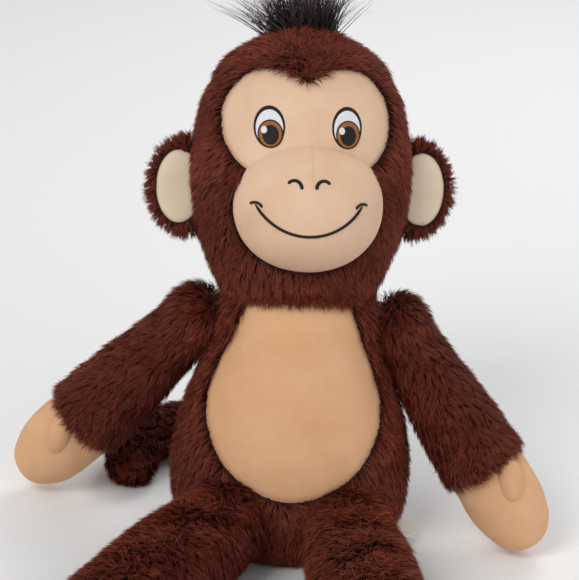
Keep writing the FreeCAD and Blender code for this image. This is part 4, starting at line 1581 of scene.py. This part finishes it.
@dataclass
class Arm(Part):
    """One arm: a furred sleeve from a round root to the cuff, and a velboa mitten with its thumb."""

    side: Side
    spine_angle: float
    forward: float
    stations: tuple = (0.0, 10.0, 26.0, 60.0, 94.0)
    radii: tuple = (16.3, 15.4, 16.0, 19.4, 21.4)
    hand_middle: float = 112.0
    hand_half: tuple[float, float, float] = (23.0, 18.0, 38.0)
    thumb_half: tuple[float, float, float] = (7.6, 7.0, 14.0)
    thumb_middle: tuple[float, float, float] = (8.0, -14.5, 108.0)
    thumb_turn: float = 24.0
    cuff_ends: tuple[float, float] = (95.5, 96.0)
    cuff_radius: float = 19.4
    bare_root: float = -15.0
    wrist: float = 88.0
    seam_width: float = 0.07
    seam_pinch: float = 0.045
    palm_curl: float = 1.6
    softness: float = 0.35

    @property
    def frame(self) -> Place:
        """The arm's frame: Z runs down the arm and -Y is its front.

        Returns:
            The frame.
        """
        lean = SPINE.axes @ turn((1, 0, 0), -self.forward)
        turned = lean @ turn((0, 1, 0), self.side.value * (180 - self.spine_angle))
        return Place(turned, pivot(f"arm_raise_{self.side.word}"))

    def sleeve(self) -> Skin:
        """Rings along the arm from a round root, closed inside the cuff.

        Returns:
            The sleeve's surface.
        """
        rings = limb_rings(self.stations, self.radii, 60, 72, self.cuff_ends, self.cuff_radius)
        return Skin(self.frame.out(rings))

    def hand(self) -> tuple[Skin, Array]:
        """A mitten: a flat superellipsoid with a sewn edge, bent towards its palm and nipped at the wrist.

        Returns:
            The hand's surface, and each point's nearness to the seam from 0 to 1.
        """
        rows, columns = 64, 96
        oval = oval_rings(self.hand_half, rows, columns, 2.25)
        angle = np.linspace(0, 2 * math.pi, columns, endpoint=False)
        seam = np.exp(-((np.sin(angle) / self.seam_width) ** 2))[None, :] * np.ones((rows, 1))
        oval[..., :2] *= (1 - self.seam_pinch * seam)[..., None]
        oval[..., 1] -= self.palm_curl * (oval[..., 2] / self.hand_half[2]) ** 2
        points = oval + (0, 0, self.hand_middle)
        points[..., 2] = np.maximum(points[..., 2], self.wrist)
        return Skin(self.frame.out(points + self.softness * swirl(points, 21.0))), seam

    def thumb(self) -> Skin:
        """A small turned superellipsoid on the palm.

        Returns:
            The thumb's surface.
        """
        x, y, along = self.thumb_middle
        turned = turn((0, 1, 0), self.thumb_turn * self.side.value)
        oval = oval_rings(self.thumb_half, 32, 40, 2.1) @ turned.T
        return Skin(self.frame.out(oval + (-self.side.value * x, y, along)))

    def furred(self, points: Array) -> Array:
        """Pile from the shoulder to the cuff."""
        return np.where(self.frame.within(points)[:, 2] > self.bare_root, 1.0, 0.0)

    def comb(self, points: Array) -> Array:
        """The pile lies down the arm."""
        return np.broadcast_to(self.frame.axes[:, 2], points.shape)

    def build(self) -> None:
        """Makes the sleeve and its pile, then the hand and the thumb."""
        look, word = self.wardrobe, self.side.word
        body, skin = f"arm_{word}", self.sleeve()
        self.upholster(f"sleeve_{word}", skin, body, [f"sleeve_fur_{word}", f"arm_stuffing_{word}"], 0.8)
        seed = 41 + self.side.value
        Pile(length=9.0).grow(f"sleeve_{word}_pile", skin, self.comb, self.furred, seed, look.pile, body)
        hand, seam = self.hand()
        # painted shade: the mitten darkens along the groove of its sewn edge
        mesh = hand.mesh(f"hand_{word}_mesh", {"edge": 0.7 * seam})
        nodes = [f"palm_{word}", f"hand_back_{word}"]
        self.applique(f"hand_{word}", mesh, look.warm_velboa, body, nodes)
        mesh = self.thumb().mesh(f"thumb_{word}_mesh")
        self.applique(f"thumb_{word}_pad", mesh, look.warm_velboa, body, [f"thumb_{word}"])
        repaint(f"shoulder_seam_{word}", look.seam)


@dataclass
class Leg(Part):
    """One leg, straight out in front: furred shin, velboa foot and sole."""

    side: Side
    splay: float
    stations: tuple = (0.0, 12.0, 42.0, 125.0, 160.0)
    radii: tuple = (21.5, 21.3, 24.8, 25.0, 23.8)
    foot_middle: tuple[float, float, float] = (0.0, 7.0, 170.0)
    foot_half: tuple[float, float, float] = (26.0, 33.0, 30.0)
    sole_at: float = 187.0
    ankle_ends: tuple[float, float] = (162.0, 162.5)
    ankle_radius: float = 21.0
    bare_root: float = -12.0
    bare_under: float = 1.2
    foot_softness: float = 0.4
    sole_half: tuple[float, float, float] = (21.0, 26.5, 1.7)
    sole_sink: float = 0.4
    sole_round: float = 1.5
    rim_width: float = 2.5

    @property
    def frame(self) -> Place:
        """The leg's frame: Z runs along the leg and Y is up."""
        axes = turn((0, 0, 1), self.side.value * self.splay) @ turn((1, 0, 0), 90)
        return Place(axes, pivot(f"leg_spread_{self.side.word}"))

    def shin(self) -> Skin:
        """Rings along the leg from a round root, pressed flat on the surface.

        Returns:
            The shin's surface.
        """
        rings = limb_rings(self.stations, self.radii, 94, 88, self.ankle_ends, self.ankle_radius)
        return Skin(settle(self.frame.out(rings)))

    def foot(self) -> tuple[Skin, Array]:
        """A superellipsoid cut off softly at the sole, by a soft minimum of its place along the leg.

        Returns:
            The foot's surface, and each point's nearness to its flat end from 0 to 1.
        """
        oval = oval_rings(self.foot_half, 60, 96, 2.2) + self.foot_middle
        short = self.sole_round * np.logaddexp(0, (self.sole_at - oval[..., 2]) / self.sole_round)
        oval[..., 2] = self.sole_at - short
        rim = np.clip(1 - short / self.rim_width, 0, 1)
        return Skin(settle(self.frame.out(oval + self.foot_softness * swirl(oval, 26.0)))), rim

    def sole(self) -> tuple[Skin, Array]:
        """A thin oval cushion on the foot's flat end.

        Returns:
            The sole's surface, and each point's nearness to its edge from 0 to 1.
        """
        flat = oval_rings(self.sole_half, 30, 80)
        reach = np.hypot(flat[..., 0] / self.sole_half[0], flat[..., 1] / self.sole_half[1])
        edge = np.clip(reach * 12 - 11, 0, 1)
        middle = (0, self.foot_middle[1], self.sole_at - self.sole_sink)
        return Skin(settle(self.frame.out(flat + middle))), edge

    def furred(self, points: Array) -> Array:
        """Pile along the leg where it isn't pressed on the surface."""
        along = self.frame.within(points)[:, 2]
        return np.where((along > self.bare_root) & (points[:, 2] > self.bare_under), 1.0, 0.0)

    def comb(self, points: Array) -> Array:
        """The pile lies down and along the leg."""
        return np.broadcast_to(0.45 * self.frame.axes[:, 2] + (0, 0, -0.8), points.shape)

    def build(self) -> None:
        """Makes the shin and its pile, the foot and the sole."""
        look, word = self.wardrobe, self.side.word
        body, skin = f"leg_{word}", self.shin()
        self.upholster(f"shin_{word}", skin, body, [f"leg_fur_{word}", f"leg_stuffing_{word}"], 0.8)
        seed = 51 + self.side.value
        Pile(length=9.0).grow(f"shin_{word}_pile", skin, self.comb, self.furred, seed, look.pile, body)
        foot, rim = self.foot()
        # painted shade: the foot darkens at the rim of its flat end, beside the sole
        mesh = foot.mesh(f"foot_{word}_mesh", {"edge": 0.7 * rim})
        self.applique(f"foot_{word}_velboa", mesh, look.warm_velboa, body, [f"foot_{word}"])
        sole, edge = self.sole()
        # painted shade: the sole darkens towards its edge
        mesh = sole.mesh(f"sole_{word}_mesh", {"edge": edge})
        self.applique(f"sole_{word}_velboa", mesh, look.warm_velboa, body, [f"sole_{word}"])
        repaint(f"hip_seam_{word}", look.seam)


@dataclass
class Tail(Part):
    """A furred tail that curls on the surface behind the toy."""

    curl: float = 48.0
    radius: float = 12.2
    sweep: float = 200.0
    bare_under: float = 1.0

    def skin(self) -> Skin:
        """A tube along an arc on the surface: its radius is an ellipse's at both ends, which closes them.

        Returns:
            The tail's surface.
        """
        length = math.radians(self.sweep) * self.curl
        ends = self.radius * np.cos(np.linspace(0, math.pi / 2, 9)[:-1])
        along = np.concatenate([self.radius - ends, np.linspace(self.radius, length - self.radius, 90)])
        along = np.concatenate([along, length - self.radius + ends[::-1]])
        near = np.clip(1 - np.minimum(along, length - along) / self.radius, 0, 1)
        radius = self.radius * np.sqrt(1 - near**2)
        angle = along / self.curl
        out = np.column_stack([np.cos(angle), np.sin(angle), np.zeros(len(angle))])
        path = pivot("tail_swing") + self.curl * (out - (1, 0, 0))
        turned = np.linspace(0, 2 * math.pi, 64, endpoint=False)[None, :, None]
        section = out[:, None] * np.cos(turned) + np.array([0, 0, 1.0]) * np.sin(turned)
        return Skin(settle(path[:, None] + radius[:, None, None] * section))

    def furred(self, points: Array) -> Array:
        """Pile where the tail isn't pressed on the surface."""
        return np.where(points[:, 2] > self.bare_under, 1.0, 0.0)

    def comb(self, points: Array) -> Array:
        """The pile lies along the tail to its tip."""
        arm = points - (pivot("tail_swing") - (self.curl, 0, 0))
        return np.column_stack([-arm[:, 1], arm[:, 0], np.zeros(len(arm))])

    def build(self) -> None:
        """Makes the tail and its pile."""
        skin = self.skin()
        self.upholster("tail_skin", skin, "tail", ["tail_fur", "tail_stuffing"], 0.8)
        Pile(length=9.0).grow("tail_pile", skin, self.comb, self.furred, 61, self.wardrobe.pile, "tail")


@dataclass
class Studio:
    """A plain pale surface, soft light and the camera."""

    floor_colour: Colour = (0.86, 0.86, 0.86)
    azimuth: float = 0.398
    elevation: float = 22.904
    distance: float = 1147.9
    roll: float = 3.325
    target: tuple[float, float, float] = (-6.313, -23.796, 164.922)
    field_of_view: float = 15.74

    def build(self) -> None:
        """Makes the stage."""
        self.add_floor()
        self.add_light("key_light", (-0.9, -1.1, 1.5), 0.9, 17.0)
        self.add_light("fill_light", (1.2, -1.1, 0.9), 1.1, 6.0)
        self.add_light("back_light", (0.5, 1.2, 1.3), 0.8, 9.0)
        world = bpy.data.worlds.new("studio")
        world.use_nodes = True
        world.node_tree.nodes["Background"].inputs["Color"].default_value = (1, 1, 1, 1)
        world.node_tree.nodes["Background"].inputs["Strength"].default_value = 0.5
        bpy.context.scene.world = world
        bpy.context.scene.view_settings.view_transform = "Standard"
        self.add_camera()

    def add_floor(self) -> None:
        """A wide surface at Z 0."""
        mesh = bpy.data.meshes.new("floor")
        corners = [(-6, -6, 0), (6, -6, 0), (6, 6, 0), (-6, 6, 0)]
        mesh.from_pydata(corners, [], [(0, 1, 2, 3)])
        shade = Shade("floor")
        mesh.materials.append(shade.finish(Base_Color=(*self.floor_colour, 1.0), Roughness=0.9))
        floor = bpy.data.objects.new("floor", mesh)
        bpy.context.scene.collection.objects.link(floor)

    def add_light(self, name: str, place: tuple[float, float, float], size: float, power: float) -> None:
        """A square area light that faces the toy.

        Args:
            name: name of the light.
            place: where it stands, in metres.
            size: length of its side, in metres.
            power: its power in watts.
        """
        lamp = bpy.data.lights.new(name, "AREA")
        lamp.size = size
        lamp.energy = power
        light = bpy.data.objects.new(name, lamp)
        aim = Vector((0, 0, 0.16)) - Vector(place)
        light.matrix_world = Matrix.Translation(place) @ aim.to_track_quat("-Z", "Y").to_matrix().to_4x4()
        bpy.context.scene.collection.objects.link(light)

    def add_camera(self) -> None:
        """The camera round its target, with its roll."""
        a, e, r = (math.radians(v) for v in (self.azimuth, self.elevation, self.roll))
        back = Vector((-math.sin(a) * math.cos(e), -math.cos(a) * math.cos(e), math.sin(e)))
        across = (-back).cross(Vector((0, 0, 1))).normalized()
        upward = across.cross(-back)
        right = across * math.cos(r) + upward * math.sin(r)
        up = upward * math.cos(r) - across * math.sin(r)
        axes = Matrix((right, up, back)).transposed().to_4x4()
        lens = bpy.data.cameras.new("camera")
        lens.angle = math.radians(self.field_of_view)
        lens.clip_start = 0.05
        camera = bpy.data.objects.new("camera", lens)
        place = Vector(self.target) * MM + back * self.distance * MM
        camera.matrix_world = Matrix.Translation(place) @ axes
        bpy.context.scene.collection.objects.link(camera)
        bpy.context.scene.camera = camera


def main() -> None:
    """Builds the toy part by part."""
    logging.basicConfig(level=logging.INFO, format="%(name)s %(message)s")
    wardrobe = Wardrobe()
    Torso(wardrobe).build()
    Head(wardrobe).build()
    for side, spine_angle, forward, splay in ((Side.LEFT, 35.0, 6.0, 8.0), (Side.RIGHT, 42.0, -18.0, 27.0)):
        Ear(wardrobe, side).build()
        Arm(wardrobe, side, spine_angle, forward).build()
        Leg(wardrobe, side, splay).build()
    Tail(wardrobe).build()
    Studio().build()


if __name__ == "__main__":
    main()
